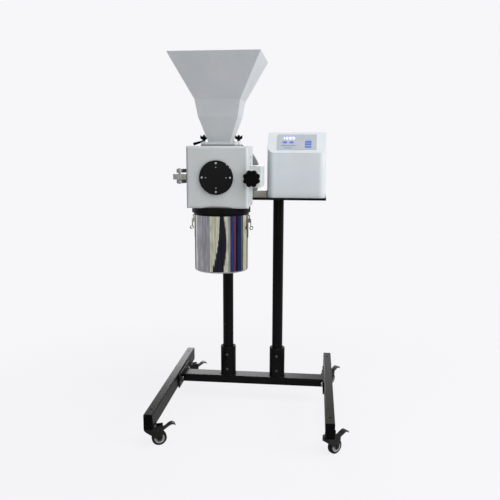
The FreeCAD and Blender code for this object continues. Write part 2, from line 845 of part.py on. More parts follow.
def sieve():
    """The slotted half screen below the rotor, seated on the chamber wall beside the outlet."""
    outer = chamber_radius - running_fit
    inner = outer - sieve_thickness
    y_low = housing_front + liner_front_setback
    length = housing_back - rear_wall - y_low
    screen = arc_segment(outer, inner, sieve_start_degrees, sieve_end_degrees, y_low, length)
    pitch = (sieve_end_degrees - sieve_start_degrees) / (sieve_slots + 1)
    middle = y_low + length / 2
    cutters = []
    for slot in range(sieve_slots):
        degrees = sieve_start_degrees + pitch * (slot + 1)
        for side in (-1, 1):
            near = middle + side * sieve_bridge / 2
            far = near + side * sieve_slot_length
            cutter = box(inner - cut_overrun, outer + cut_overrun, min(near, far), max(near, far),
                         -sieve_slot_width / 2, sieve_slot_width / 2)
            cutter.rotate(vec(0, 0, 0), AXIS_Y, -degrees)
            cutter.translate(vec(mill_centre_x, 0, shaft_height))
            cutters.append(cutter)
    return screen.cut(Part.makeCompound(cutters))


def drive_shaft():
    """The motor's shaft, through the bearings and the rear wall into the chamber."""
    return rod(shaft_diameter / 2, shaft_point(shaft_front), AXIS_Y, shaft_back - shaft_front)


def beater_rotor():
    """A disc with beater bars that stand forward of it, a hub and the nut that holds it."""
    disc_back = housing_back - rear_wall - rotor_back_gap
    disc_front = disc_back - rotor_disc_thickness
    pieces = [rod(rotor_disc_radius, shaft_point(disc_front), AXIS_Y, rotor_disc_thickness)]
    for beater in range(rotor_beaters):
        bar = outline([vec(rotor_disc_radius - beater_radial, disc_front - beater_length, -beater_width / 2),
                       vec(rotor_disc_radius, disc_front - beater_length, -beater_width / 2),
                       vec(rotor_disc_radius, disc_front - beater_length,
                           beater_width / 2 - beater_edge_taper),
                       vec(rotor_disc_radius - beater_radial, disc_front - beater_length, beater_width / 2)],
                      AXIS_Y * (beater_length + rotor_disc_thickness / 2))
        bar.rotate(vec(0, 0, 0), AXIS_Y, 360 / rotor_beaters * beater)
        bar.translate(vec(mill_centre_x, 0, shaft_height))
        pieces.append(bar)
    limit = rod(rotor_disc_radius, shaft_point(disc_front - beater_length), AXIS_Y,
                beater_length + rotor_disc_thickness)
    hub_front = disc_back - rotor_hub_length
    pieces.append(rod(rotor_hub_diameter / 2, shaft_point(hub_front), AXIS_Y, rotor_hub_length))
    rotor = joined(pieces).common(limit)
    bore = rod(shaft_diameter / 2 + running_fit, shaft_point(hub_front - cut_overrun), AXIS_Y,
               rotor_hub_length + 2 * cut_overrun)
    rotor = rotor.cut(bore)
    nut = hex_bar(rotor_nut_width, shaft_point(hub_front - rotor_nut_height), AXIS_Y, rotor_nut_height)
    nut = nut.cut(rod(shaft_diameter / 2 + running_fit,
                      shaft_point(hub_front - rotor_nut_height - cut_overrun), AXIS_Y,
                      rotor_nut_height + 2 * cut_overrun))
    return group([rotor, nut])


def bearing_places():
    """The front faces of the two bearings inside the bracket's boss."""
    return (housing_back + bearing_lip, housing_back + bearing_lip + bearing_spacing)


def bearings():
    return group([ring(bearing_outer_diameter / 2, shaft_diameter / 2 + running_fit, shaft_point(y),
                       AXIS_Y, bearing_width) for y in bearing_places()])


# Outlet collar, bucket and toggle latches

def bucket_point(z):
    return vec(mill_centre_x, mill_axis_y, z)


def outlet_collar():
    """A round cover below the outlet: a neck, a disc and the ring that the bucket meets."""
    disc_bottom = collar_top - collar_disc_height
    disc = rod(collar_disc_radius, bucket_point(disc_bottom), AXIS_Z, collar_disc_height)
    lip = ring(collar_ring_radius, collar_ring_radius - collar_ring_wall,
               bucket_point(disc_bottom - collar_ring_height), AXIS_Z, collar_ring_height)
    neck = box(mill_centre_x - outlet_width / 2 - collar_neck_wall,
               mill_centre_x + outlet_width / 2 + collar_neck_wall,
               mill_axis_y - outlet_depth / 2 - collar_neck_wall,
               mill_axis_y + outlet_depth / 2 + collar_neck_wall, collar_top, housing_bottom)
    chute = box(mill_centre_x - outlet_width / 2, mill_centre_x + outlet_width / 2,
                mill_axis_y - outlet_depth / 2, mill_axis_y + outlet_depth / 2,
                disc_bottom - cut_overrun, housing_bottom + cut_overrun)
    return joined([disc, lip, neck]).cut(chute)


def bucket():
    """A drawn steel bucket with a plain rim."""
    outer = rod(bucket_diameter / 2, bucket_point(bucket_bottom), AXIS_Z, bucket_height)
    outer = outer.makeFillet(bucket_floor_radius, edges_at(outer, AXIS_Z, bucket_bottom))
    inner = rod(bucket_diameter / 2 - bucket_wall, bucket_point(bucket_bottom + bucket_wall), AXIS_Z,
                bucket_height)
    inner = inner.makeFillet(bucket_floor_radius - bucket_wall,
                             edges_at(inner, AXIS_Z, bucket_bottom + bucket_wall))
    return outer.cut(inner)


def latch_frame(shape, side):
    """Puts a latch piece, made with X outwards from the bucket wall, on the left or right side."""
    placed = shape.copy()
    placed.translate(vec(bucket_diameter / 2, 0, 0))
    if side < 0:
        placed.rotate(vec(0, 0, 0), AXIS_Z, 180)
    placed.translate(bucket_point(0))
    return placed


def latch_bases():
    """Riveted base plates with the two ears and the pin of each lever."""
    bases = []
    top = bucket_rim - latch_base_top_below_rim
    for side in (-1, 1):
        plate = box(-bucket_wall / 2, latch_base_thickness, -latch_base_width / 2, latch_base_width / 2,
                    top - latch_base_height, top)
        wall = rod(bucket_diameter / 2 + running_fit, vec(-bucket_diameter / 2, 0, top - latch_base_height),
                   AXIS_Z, latch_base_height)
        pieces = [plate.cut(wall)]
        for hand in (-1, 1):
            near = hand * latch_ear_inner
            far = hand * (latch_ear_inner + latch_ear_thickness)
            start = min(near, far)
            ear = outline([vec(latch_base_thickness, start, latch_pivot_z - latch_crank),
                           vec(latch_pivot_out, start, latch_pivot_z - latch_pin_boss),
                           vec(latch_pivot_out, start, latch_pivot_z + latch_pin_boss),
                           vec(latch_base_thickness, start, latch_pivot_z + latch_pin_boss)],
                          AXIS_Y * latch_ear_thickness)
            boss = rod(latch_pin_boss, vec(latch_pivot_out, start, latch_pivot_z), AXIS_Y,
                       latch_ear_thickness)
            pieces += [ear, boss]
        reach = lever_cheek_inner + lever_cheek_thickness
        pieces.append(rod(latch_pin_radius, vec(latch_pivot_out, -reach, latch_pivot_z), AXIS_Y, 2 * reach))
        bases.append(latch_frame(joined(pieces), side))
    return group(bases)


def latch_lever(side):
    """The thumb lever: two cheeks on the pin, a plate down the front and a curled end."""
    crank_z = latch_pivot_z - latch_crank
    half = lever_cheek_inner + lever_cheek_thickness
    plate_in = latch_pivot_out + lever_plate_out
    plate_out = plate_in + lever_plate_thickness
    plate_low = latch_pivot_z - lever_plate_length
    plate = box(plate_in, plate_out, -half, half, plate_low, latch_pivot_z)
    curl_z = plate_low - lever_curl_radius / 2
    curl = ring(lever_curl_radius, lever_curl_radius - lever_curl_wall,
                vec(plate_in + lever_curl_radius / 2, -half, curl_z), AXIS_Y, 2 * half)
    pieces = [plate, curl]
    for hand in (-1, 1):
        start = min(hand * lever_cheek_inner, hand * half)
        cheek = outline([vec(latch_pivot_out - latch_pin_boss, start, latch_pivot_z),
                         vec(plate_out, start, latch_pivot_z),
                         vec(plate_out, start, crank_z - latch_pin_boss),
                         vec(latch_pivot_out - latch_pin_boss, start, crank_z)],
                        AXIS_Y * lever_cheek_thickness)
        upper = rod(latch_pin_boss, vec(latch_pivot_out, start, latch_pivot_z), AXIS_Y,
                    lever_cheek_thickness)
        lower = rod(latch_pin_boss, vec(latch_pivot_out, start, crank_z), AXIS_Y, lever_cheek_thickness)
        pieces += [cheek, upper, lower]
    lever = joined(pieces)
    for radius, z in ((latch_pin_radius, latch_pivot_z), (loop_wire_radius, crank_z)):
        lever = lever.cut(rod(radius + running_fit, vec(latch_pivot_out, -half - cut_overrun, z), AXIS_Y,
                              2 * (half + cut_overrun)))
    return latch_frame(lever, side)


def latch_loop(side):
    """The wire bail from the lever's crank up over the keeper."""
    crank_z = latch_pivot_z - latch_crank
    top = crank_z + loop_length
    inner = lever_cheek_inner + free_gap
    pieces = []
    for hand in (-1, 1):
        leg = rod(loop_wire_radius, vec(latch_pivot_out, hand * loop_half_width, crank_z), AXIS_Z,
                  loop_length)
        foot_start = min(hand * inner, hand * loop_half_width)
        foot = rod(loop_wire_radius, vec(latch_pivot_out, foot_start, crank_z), AXIS_Y,
                   loop_half_width - inner)
        pieces += [leg, foot]
        for z in (crank_z, top):
            pieces.append(Part.makeSphere(loop_wire_radius, vec(latch_pivot_out, hand * loop_half_width, z)))
    pieces.append(rod(loop_wire_radius, vec(latch_pivot_out, -loop_half_width, top), AXIS_Y,
                      2 * loop_half_width))
    return latch_frame(joined(pieces), side)


def keeper_hooks():
    """Bent plates on the collar whose ledges carry the latch wires."""
    hooks = []
    wire_z = latch_pivot_z - latch_crank + loop_length
    ledge_top = wire_z - loop_wire_radius - keeper_wire_gap
    wall_in = collar_ring_radius - bucket_diameter / 2
    disc_bottom = collar_top - collar_disc_height
    half = keeper_width / 2
    for side in (-1, 1):
        leaf = box(wall_in - keeper_thickness, wall_in + keeper_thickness, -half, half,
                   ledge_top - keeper_thickness, disc_bottom)
        ring_body = rod(collar_ring_radius, vec(-bucket_diameter / 2, 0, ledge_top - 2 * keeper_thickness),
                        AXIS_Z, collar_disc_height + collar_ring_height)
        leaf = leaf.cut(ring_body)
        ledge = box(wall_in + running_fit, latch_pivot_out + keeper_lip_past_wire, -half, half,
                    ledge_top - keeper_thickness, ledge_top)
        hooks.append(latch_frame(joined([leaf, ledge.cut(ring_body)]), side))
    return group(hooks)


# Door, hinge and clamp knob

def door():
    """The thick front door with its rounded front edges and the ear for the clamp knob."""
    slab = box(housing_left, housing_right, door_front, door_back, door_bottom, door_bottom + door_height)
    slab = slab.makeFillet(door_edge_radius, edges_at(slab, AXIS_Y, door_front))
    ear = rounded_box(housing_right - door_edge_radius, housing_right + ear_reach,
                      door_back - ear_thickness, door_back,
                      knob_height - ear_half_height, knob_height + ear_half_height,
                      ear_corner_radius, AXIS_Y)
    whole = joined([slab, ear])
    hole = rod(stud_diameter / 2 + free_gap,
               vec(knob_x, door_back - ear_thickness - cut_overrun, knob_height), AXIS_Y,
               ear_thickness + 2 * cut_overrun)
    return whole.cut(hole)


def disc_point(radius, degrees):
    turn = math.radians(degrees)
    return vec(mill_centre_x - disc_centre_left + radius * math.cos(turn), door_front - disc_thickness,
               shaft_height + radius * math.sin(turn))


def door_disc():
    """The round cover plate on the door."""
    start = disc_point(0, 0)
    disc = rod(disc_radius, start, AXIS_Y, disc_thickness)
    disc = disc.makeFillet(disc_edge_radius, edges_at(disc, AXIS_Y, door_front - disc_thickness))
    for degrees in disc_notch_angles:
        notch = box(disc_radius - disc_notch_depth, disc_radius + cut_overrun, -cut_overrun,
                    disc_thickness + cut_overrun, -disc_notch_width / 2, disc_notch_width / 2)
        notch.rotate(vec(0, 0, 0), AXIS_Y, -degrees)
        notch.translate(start)
        disc = disc.cut(notch)
    return disc


def disc_screws():
    """Four screw heads near the disc's edge and four small pin heads inside them."""
    heads = []
    for quarter in range(4):
        screw = rod(disc_screw_diameter / 2, disc_point(disc_screw_circle, 90 * quarter), AXIS_Y * -1,
                    disc_screw_height)
        face = door_front - disc_thickness - disc_screw_height
        heads.append(screw.makeFillet(disc_screw_height / 2, edges_at(screw, AXIS_Y, face)))
        heads.append(rod(disc_pin_diameter / 2, disc_point(disc_pin_circle, 90 * quarter), AXIS_Y * -1,
                         disc_pin_height))
    return group(heads)


def hinge_point(z):
    return vec(hinge_x, hinge_y, z)


def hinge_bracket():
    """The fixed clevis on the housing's left side, and its pin."""
    leaf_high = hinge_leaf_bottom + hinge_leaf_height
    leaf_out = housing_left - hinge_leaf_thickness
    leaf_front = housing_front + hinge_leaf_setback
    leaf = box(leaf_out, housing_left, leaf_front, leaf_front + hinge_leaf_length,
               hinge_leaf_bottom, leaf_high)
    pieces = [leaf]
    ear_bottoms = (hinge_arm_bottom - free_gap - hinge_ear_height, leaf_high - hinge_ear_height)
    for bottom in ear_bottoms:
        web = outline([vec(hinge_x - hinge_ear_radius, hinge_y, bottom),
                       vec(hinge_x + hinge_ear_radius, hinge_y, bottom),
                       vec(leaf_out, leaf_front, bottom),
                       vec(leaf_out, leaf_front + hinge_leaf_length, bottom)],
                      AXIS_Z * hinge_ear_height)
        pieces += [web, rod(hinge_ear_radius, hinge_point(bottom), AXIS_Z, hinge_ear_height)]
    bracket = joined(pieces)
    length = leaf_high - ear_bottoms[0]
    bracket = bracket.cut(rod(hinge_pin_radius + running_fit, hinge_point(ear_bottoms[0] - cut_overrun),
                              AXIS_Z, length + 2 * cut_overrun))
    pin = rod(hinge_pin_radius, hinge_point(ear_bottoms[0] - hinge_pin_head), AXIS_Z,
              length + 2 * hinge_pin_head)
    return group([bracket, pin])


def hinge_arm():
    """The door's tongue between the two ears of the clevis."""
    low = hinge_arm_bottom
    high = low + hinge_arm_height
    arm = rounded_box(hinge_x - hinge_arm_tail, housing_left, hinge_y - hinge_arm_depth / 2,
                      hinge_y + hinge_arm_depth / 2, low, high, hinge_leaf_thickness, AXIS_Z)
    return arm.cut(rod(hinge_pin_radius + sliding_fit, hinge_point(low - cut_overrun), AXIS_Z,
                       hinge_arm_height + 2 * cut_overrun))


def latch_block():
    """The long block on the housing's right side that takes the clamp knob's stud."""
    block = box(housing_right, housing_right + latch_block_width, housing_front + door_gap, latch_block_back,
                latch_block_bottom, latch_block_bottom + latch_block_height)
    far = [edge for edge in block.Edges
           if all(vertex.Point.x > housing_right + latch_block_edge_radius for vertex in edge.Vertexes)]
    block = block.makeFillet(latch_block_edge_radius, far)
    depth = stud_engagement + stud_hole_extra_depth
    hole = rod(stud_diameter / 2 + stud_hole_clearance,
               vec(knob_x, housing_front + door_gap - cut_overrun, knob_height), AXIS_Y,
               depth + cut_overrun)
    return block.cut(hole)


def star_outline(radius, depth, lobes, y):
    """A closed wavy outline with rounded lobes, as a smooth curve through its crests and valleys."""
    points = []
    steps = lobes * knob_points_per_lobe
    for step in range(steps):
        turn = 2 * math.pi * step / steps
        wave = (1 - math.cos(lobes * turn)) / 2
        reach = radius - depth * (1 - wave ** knob_lobe_fullness_share)
        points.append(vec(reach * math.cos(turn), y, reach * math.sin(turn)))
    curve = Part.BSplineCurve()
    curve.interpolate(points, PeriodicFlag=True)
    return Part.Face(Part.Wire(curve.toShape()))


def star_knob():
    """The lobed clamp knob with its hub and its captive stud."""
    head_back = door_front - knob_front_clearance
    head = star_outline(knob_radius, knob_lobe_depth, knob_lobes, head_back - knob_thickness)
    head = head.extrude(AXIS_Y * knob_thickness)
    head = head.makeFillet(knob_edge_radius, edges_at(head, AXIS_Y, head_back - knob_thickness))
    ear_face = door_back - ear_thickness - free_gap
    hub = rod(knob_hub_radius, vec(0, head_back, 0), AXIS_Y, ear_face - head_back)
    tip = housing_front + door_gap + stud_engagement
    stud = rod(stud_diameter / 2, vec(0, head_back, 0), AXIS_Y, tip - head_back)
    knob = joined([head, hub, stud])
    knob.translate(vec(knob_x, 0, knob_height))
    return knob


# Slide gate, hopper and clamp knobs

def flange_plate(low, high):
    """The square plate, rounded at its corners, that the gate frame and the hopper's flange share."""
    plate = rounded_box(mill_centre_x - flange_half_width, mill_centre_x + flange_half_width,
                        mill_axis_y - flange_half_width, mill_axis_y + flange_half_width, low, high,
                        flange_corner_radius, AXIS_Z)
    reach = clamp_stud_offset + clamp_ear_reach
    y = mill_axis_y + clamp_stud_back
    ears = rounded_box(mill_centre_x - reach, mill_centre_x + reach, y - clamp_ear_half_width,
                       y + clamp_ear_half_width, low, high, flange_corner_radius, AXIS_Z)
    return joined([plate, ears]).cut(neck_window(low, high))


def hopper_ring(half, inset, z):
    """The hopper's outline at a height, a little deeper before the feed axis than behind it."""
    x = half - inset
    front = mill_axis_y - half * hopper_front_share + inset
    back = mill_axis_y + half * hopper_back_share - inset
    corners = [vec(mill_centre_x - x, front, z), vec(mill_centre_x + x, front, z),
               vec(mill_centre_x + x, back, z), vec(mill_centre_x - x, back, z)]
    return Part.makePolygon(corners + corners[:1])


def neck_window(low, high):
    """The opening through flange and gate frame, as wide as the hopper's neck inside."""
    window = Part.Face(hopper_ring(hopper_neck_half, hopper_wall, low - cut_overrun))
    return window.extrude(AXIS_Z * (high - low + 2 * cut_overrun))


def clamp_places():
    """The two clamp studs, left and right of the feed axis."""
    y = mill_axis_y + clamp_stud_back
    return {"left": vec(mill_centre_x - clamp_stud_offset, y, 0),
            "right": vec(mill_centre_x + clamp_stud_offset, y, 0)}


def with_stud_holes(plate, low, high, room):
    for place in clamp_places().values():
        plate = plate.cut(rod(clamp_stud_diameter / 2 + room, place + AXIS_Z * (low - cut_overrun),
                              AXIS_Z, high - low + 2 * cut_overrun))
    return plate


def gate_frame():
    """The dark spacer frame between housing and hopper, recessed below for the blade."""
    frame = flange_plate(gate_frame_bottom, flange_bottom)
    slot_top = blade_bottom + gate_blade_thickness + free_gap
    slot = box(mill_centre_x - clamp_stud_offset - clamp_ear_reach - cut_overrun,
               mill_centre_x + gate_blade_half_length + free_gap,
               mill_axis_y - gate_blade_half_depth - free_gap, mill_axis_y + gate_blade_half_depth + free_gap,
               gate_frame_bottom - cut_overrun, slot_top)
    return with_stud_holes(frame.cut(slot), slot_top, flange_bottom, 0)


def gate_tab_outer():
    """The outer face of the gate's upturned tab."""
    return mill_centre_x - flange_half_width - gate_tab_gap - gate_blade_thickness


def gate_tab_y():
    """The tab's middle, forward of the feed axis so that it stands clear of the clamp stud's ear."""
    return mill_axis_y - gate_tab_forward


def feed_gate():
    """The sliding blade with the narrow tab that turns up outside the frame."""
    high = blade_bottom + gate_blade_thickness
    blade = box(mill_centre_x - gate_blade_half_length, mill_centre_x + gate_blade_half_length,
                mill_axis_y - gate_blade_half_depth, mill_axis_y + gate_blade_half_depth,
                blade_bottom, high)
    outer = gate_tab_outer()
    y_low = gate_tab_y() - gate_tab_width / 2
    y_high = gate_tab_y() + gate_tab_width / 2
    tab = box(outer, mill_centre_x, y_low, y_high, blade_bottom, high)
    upturn = box(outer, outer + gate_blade_thickness, y_low, y_high, blade_bottom,
                 blade_bottom + gate_tab_height)
    return joined([blade, tab, upturn])


def gate_grip():
    """The tapered grip on the gate's tab, tilted down at its outer end."""
    start = vec(gate_tab_outer(), gate_tab_y(), blade_bottom + grip_start_rise)
    tilt = math.radians(grip_tilt)
    direction = vec(-math.cos(tilt), 0, -math.sin(tilt))
    grip = Part.makeCone(grip_end_radius, grip_radius, grip_length, start, direction)
    ends = [edge for edge in grip.Edges if isinstance(edge.Curve, Part.Circle)]
    grip = grip.makeFillet(grip_end_radius / 2, ends)
    keep = box(start.x - grip_length - 2 * grip_radius, start.x, start.y - 2 * grip_radius,
               start.y + 2 * grip_radius, start.z - grip_length, start.z + grip_length)
    return grip.common(keep)


def hopper():
    """A square sheet-metal hopper: flange, two tapered stages and the wide mouth."""
    heights = [flange_top, flange_top + hopper_bend_2_rise, flange_top + hopper_bend_1_rise,
               flange_top + hopper_rim_rise]
    halves = [hopper_neck_half, hopper_bend_2_half, hopper_bend_1_half, hopper_rim_half]
    stages = []
    for n in range(3):
        skins = [Part.makeLoft([hopper_ring(halves[n], inset, heights[n]),
                                hopper_ring(halves[n + 1], inset, heights[n + 1])], True, True)
                 for inset in (0, hopper_wall)]
        stages.append(skins[0].cut(skins[1]))
    flange = flange_plate(flange_bottom, flange_top)
    return joined([with_stud_holes(flange, flange_bottom, flange_top, sliding_fit)] + stages)


def hopper_studs():
    """Two studs that stand in the gate frame and clamp the hopper, each with its washer and lock nut."""
    studs = []
    root = blade_bottom + gate_blade_thickness + free_gap
    for place in clamp_places().values():
        stud = rod(clamp_stud_diameter / 2, place + AXIS_Z * root, AXIS_Z,
                   flange_top + clamp_stud_above_flange - root)
        washer = rod(clamp_washer_radius, place + AXIS_Z * flange_top, AXIS_Z, clamp_washer_height)
        spacer = rod(clamp_knob_hub_radius, place + AXIS_Z * flange_top, AXIS_Z,
                     clamp_washer_height + clamp_knob_lift - free_gap)
        studs.append(joined([stud, washer, spacer]))
    return group(studs)


def hopper_knob(side):
    """A black wing knob on a clamp stud."""
    place = clamp_places()[side]
    low = clamp_knob_bottom
    top = low + clamp_knob_height
    hub = Part.makeCone(clamp_knob_base_radius, clamp_knob_hub_radius, clamp_knob_height,
                        place + AXIS_Z * low, AXIS_Z)
    start = low + clamp_wing_start_rise
    wing_low = low + clamp_wing_low_rise
    half = clamp_wing_thickness / 2
    wing = outline([vec(-clamp_knob_hub_radius, -half, start),
                    vec(clamp_knob_hub_radius, -half, start),
                    vec(clamp_wing_reach, -half, wing_low),
                    vec(clamp_wing_reach, -half, top),
                    vec(clamp_knob_hub_radius, -half, top - clamp_wing_dip),
                    vec(-clamp_knob_hub_radius, -half, top - clamp_wing_dip),
                    vec(-clamp_wing_reach, -half, top),
                    vec(-clamp_wing_reach, -half, wing_low)],
                   AXIS_Y * clamp_wing_thickness)
    wing.translate(place)
    knob = joined([hub, wing])
    return knob.cut(rod(clamp_stud_diameter / 2 + running_fit, place + AXIS_Z * (low - cut_overrun), AXIS_Z,
                        clamp_knob_height + 2 * cut_overrun))


# Motor, its bracket and its base

def motor_base():
    """A bare steel bar with a groove along its front and a round saddle below the motor."""
    back = motor_base_front + motor_base_depth
    bar = box(motor_base_left, motor_base_right, motor_base_front, back,
              platform_top, platform_top + motor_base_height)
    low = platform_top + motor_base_groove_rise
    groove = box(motor_base_left - cut_overrun, motor_base_right + cut_overrun,
                 motor_base_front - cut_overrun, motor_base_front + motor_base_groove,
                 low, low + motor_base_groove)
    return bar.cut(groove).cut(motor_envelope())


def motor_bracket():
    """The round bearing bracket with a flat foot, between the housing and the motor."""
    foot_z = platform_top + motor_base_height
    disc = rod(bracket_radius, shaft_point(bracket_front), AXIS_Y, bracket_thickness)
    below = box(mill_centre_x - 2 * bracket_radius, mill_centre_x + 2 * bracket_radius,
                housing_back - cut_overrun, bracket_front + bracket_thickness + cut_overrun,
                shaft_height - 2 * bracket_radius, foot_z)
    boss = rod(bracket_boss_radius, shaft_point(housing_back), AXIS_Y, bracket_front)
    foot = box(mill_centre_x - bracket_foot_half_width, mill_centre_x + bracket_foot_half_width,
               motor_base_front, motor_base_front + motor_base_depth, foot_z, foot_z + bracket_foot_height)
    bracket = joined([disc.cut(below), boss.cut(below), foot.cut(motor_envelope())])
    bore = rod(shaft_hole_radius, shaft_point(housing_back - cut_overrun), AXIS_Y,
               bracket_front + bracket_thickness + 2 * cut_overrun)
    bracket = bracket.cut(bore)
    first, last = bearing_places()
    seat = rod(bearing_outer_diameter / 2 + running_fit / 2, shaft_point(first), AXIS_Y,
               last + bearing_width - first)
    return bracket.cut(seat)


def motor_front():
    return bracket_front + bracket_thickness


def motor_envelope():
    """The space of the motor with a little room, for the foot to clear."""
    return rod(motor_radius + motor_fin_height + free_gap, shaft_point(motor_front()), AXIS_Y,
               motor_length + cowl_length)


def motor():
    """A flange motor: finned barrel with end shields, fan cowl and terminal box."""
    front = motor_front()
    barrel = rod(motor_radius, shaft_point(front), AXIS_Y, motor_length)
    shield_radius = motor_radius + motor_fin_height
    pieces = [barrel]
    for start in (front, front + motor_length - motor_end_shield):
        pieces.append(rod(shield_radius, shaft_point(start), AXIS_Y, motor_end_shield))
    for fin in range(motor_fins):
        bar = box(motor_radius - motor_fin_width, motor_radius + motor_fin_height, front,
                  front + motor_length, -motor_fin_width / 2, motor_fin_width / 2)
        bar.rotate(vec(0, 0, 0), AXIS_Y, 360 / motor_fins * (fin + 0.5))
        bar.translate(vec(mill_centre_x, 0, shaft_height))
        pieces.append(bar)
    frame = joined(pieces)
    box_right = mill_centre_x - motor_radius + motor_fin_width
    box_start = front + terminal_box_setback
    terminal = rounded_box(box_right - terminal_box_width, box_right, box_start,
                           box_start + terminal_box_length, shaft_height - terminal_box_height / 2,
                           shaft_height + terminal_box_height / 2, terminal_box_radius, AXIS_X)
    terminal = terminal.cut(frame)
    bore = rod(shaft_diameter / 2 + free_gap, shaft_point(front - cut_overrun), AXIS_Y,
               shaft_back - front + 2 * cut_overrun)
    frame = frame.cut(bore)
    cowl_start = front + motor_length
    cowl = rod(cowl_radius, shaft_point(cowl_start), AXIS_Y, cowl_length)
    cowl = cowl.makeFillet(cowl_edge_radius, edges_at(cowl, AXIS_Y, cowl_start + cowl_length))
    cowl = cowl.cut(rod(cowl_radius - cowl_wall, shaft_point(cowl_start - cut_overrun), AXIS_Y,
                        cowl_length - cowl_wall + cut_overrun))
    for slot in range(cowl_slots):
        cutter = box(cowl_slot_inner, cowl_slot_outer, cowl_start + cowl_length - cowl_wall - cut_overrun,
                     cowl_start + cowl_length + cut_overrun, -cowl_slot_width / 2, cowl_slot_width / 2)
        cutter.rotate(vec(0, 0, 0), AXIS_Y, 360 / cowl_slots * slot)
        cutter.translate(vec(mill_centre_x, 0, shaft_height))
        cowl = cowl.cut(cutter)
    return group([frame, cowl, terminal])


# Control box

def control_profile(inset, bottom, x_low, x_high):
    """The box's side outline, stepped in by a wall, as a solid between two sides."""
    front = control_front + inset
    back = control_front + control_depth - inset
    top = platform_top + control_height - inset
    slope = math.radians(slope_angle)
    shift = inset * (1 - math.cos(slope)) / math.sin(slope)
    knee = platform_top + control_knee_height - shift
    top_front = control_front + control_slope_depth + inset * math.tan(slope / 2)
    points = [vec(x_low, front, bottom), vec(x_low, front, knee), vec(x_low, top_front, top),
              vec(x_low, back, top), vec(x_low, back, bottom)]
    return outline(points, AXIS_X * (x_high - x_low))


def on_slope(shape):
    """Moves a piece made flat, with Y up the slope and Z outwards, onto the sloped fascia."""
    placed = shape.copy()
    placed.rotate(vec(0, 0, 0), AXIS_X, slope_angle)
    placed.translate(vec(control_left, control_front, platform_top + control_knee_height))
    return placed


def key_pockets(bottom, extra):
    """The holes that the keys stand in."""
    pockets = []
    for across, up, width in keys.values():
        half_w = width / 2 + extra
        half_h = key_height / 2 + extra
        pockets.append(box(across - half_w, across + half_w, up - half_h, up + half_h,
                           bottom, cut_overrun + panel_thickness))
    return Part.makeCompound([on_slope(pocket) for pocket in pockets])


def control_case():
    """The moulded box, open below, with its sloped fascia, side vents and the inlet's cut-out."""
    outer = control_profile(0, platform_top, control_left, control_right)
    upright = edges_along(outer, AXIS_Z)
    outer = outer.makeFillet(control_edge_radius, upright)
    top_edges = edges_at(outer, AXIS_Z, platform_top + control_height)
    outer = outer.makeFillet(control_top_radius, top_edges)
    inner = control_profile(control_wall, platform_top - cut_overrun, control_left + control_wall,
                            control_right - control_wall)
    inner = inner.makeFillet(control_edge_radius - control_wall, edges_along(inner, AXIS_Z))
    case = outer.cut(inner)
    case = case.cut(key_pockets(-key_pocket_depth + panel_thickness, free_gap))
    middle_y = control_front + vent_setback
    vent_low = platform_top + control_knee_height / 2 - vent_slot_pitch * vent_slots / 2
    for slot in range(vent_slots):
        z = vent_low + slot * vent_slot_pitch
        case = case.cut(box(control_right - control_wall - cut_overrun, control_right + cut_overrun,
                            middle_y - vent_slot_length / 2, middle_y + vent_slot_length / 2,
                            z, z + vent_slot_width))
    return case.cut(inlet_cut_out())


def inlet_cut_out():
    """The hole in the rear wall for the inlet's body, with room around it."""
    back = control_front + control_depth
    left = control_left + inlet_from_left - inlet_width / 2 - sliding_fit
    low = platform_top + inlet_rise - sliding_fit
    return box(left, left + inlet_width + 2 * sliding_fit, back - inlet_depth, back + cut_overrun,
               low, low + inlet_height + 2 * sliding_fit)


def power_inlet():
    """The mains inlet in the rear wall: flange, open socket and three pins."""
    back = control_front + control_depth
    left = control_left + inlet_from_left - inlet_width / 2
    low = platform_top + inlet_rise
    body = box(left, left + inlet_width, back - inlet_depth, back + inlet_flange, low, low + inlet_height)
    flange = rounded_box(left - inlet_lip, left + inlet_width + inlet_lip, back, back + inlet_flange,
                         low - inlet_lip, low + inlet_height + inlet_lip, inlet_lip, AXIS_Y)
    wall = inlet_flange
    well = box(left + wall, left + inlet_width - wall, back - inlet_depth + wall,
               back + inlet_flange + cut_overrun, low + wall, low + inlet_height - wall)
    pieces = [joined([body, flange]).cut(well)]
    for place in (-1, 0, 1):
        x = left + inlet_width / 2 + place * inlet_pin_spacing
        pin = box(x - inlet_pin_width / 2, x + inlet_pin_width / 2, back - inlet_depth,
                  back - inlet_pin_setback, low + (inlet_height - inlet_pin_height) / 2,
                  low + (inlet_height + inlet_pin_height) / 2)
        pieces.append(pin)
    return joined(pieces)


def control_panel():
    """The thin fascia plate with the display window and the key openings."""
    plate = rounded_box(panel_left, panel_left + panel_width, panel_low, panel_low + panel_height,
                        0, panel_thickness, panel_corner_radius, AXIS_Z)
    window = box(display_left, display_left + display_width, display_low, display_low + display_height,
                 panel_thickness - display_depth, panel_thickness + cut_overrun)
    return on_slope(plate.cut(window)).cut(key_pockets(-cut_overrun, free_gap))


def key(name):
    across, up, width = keys[name]
    cap = rounded_box(across - width / 2, across + width / 2, up - key_height / 2, up + key_height / 2,
                      panel_thickness - key_depth_below - free_gap, panel_thickness + key_stand_proud,
                      key_corner_radius, AXIS_Z)
    return on_slope(cap)


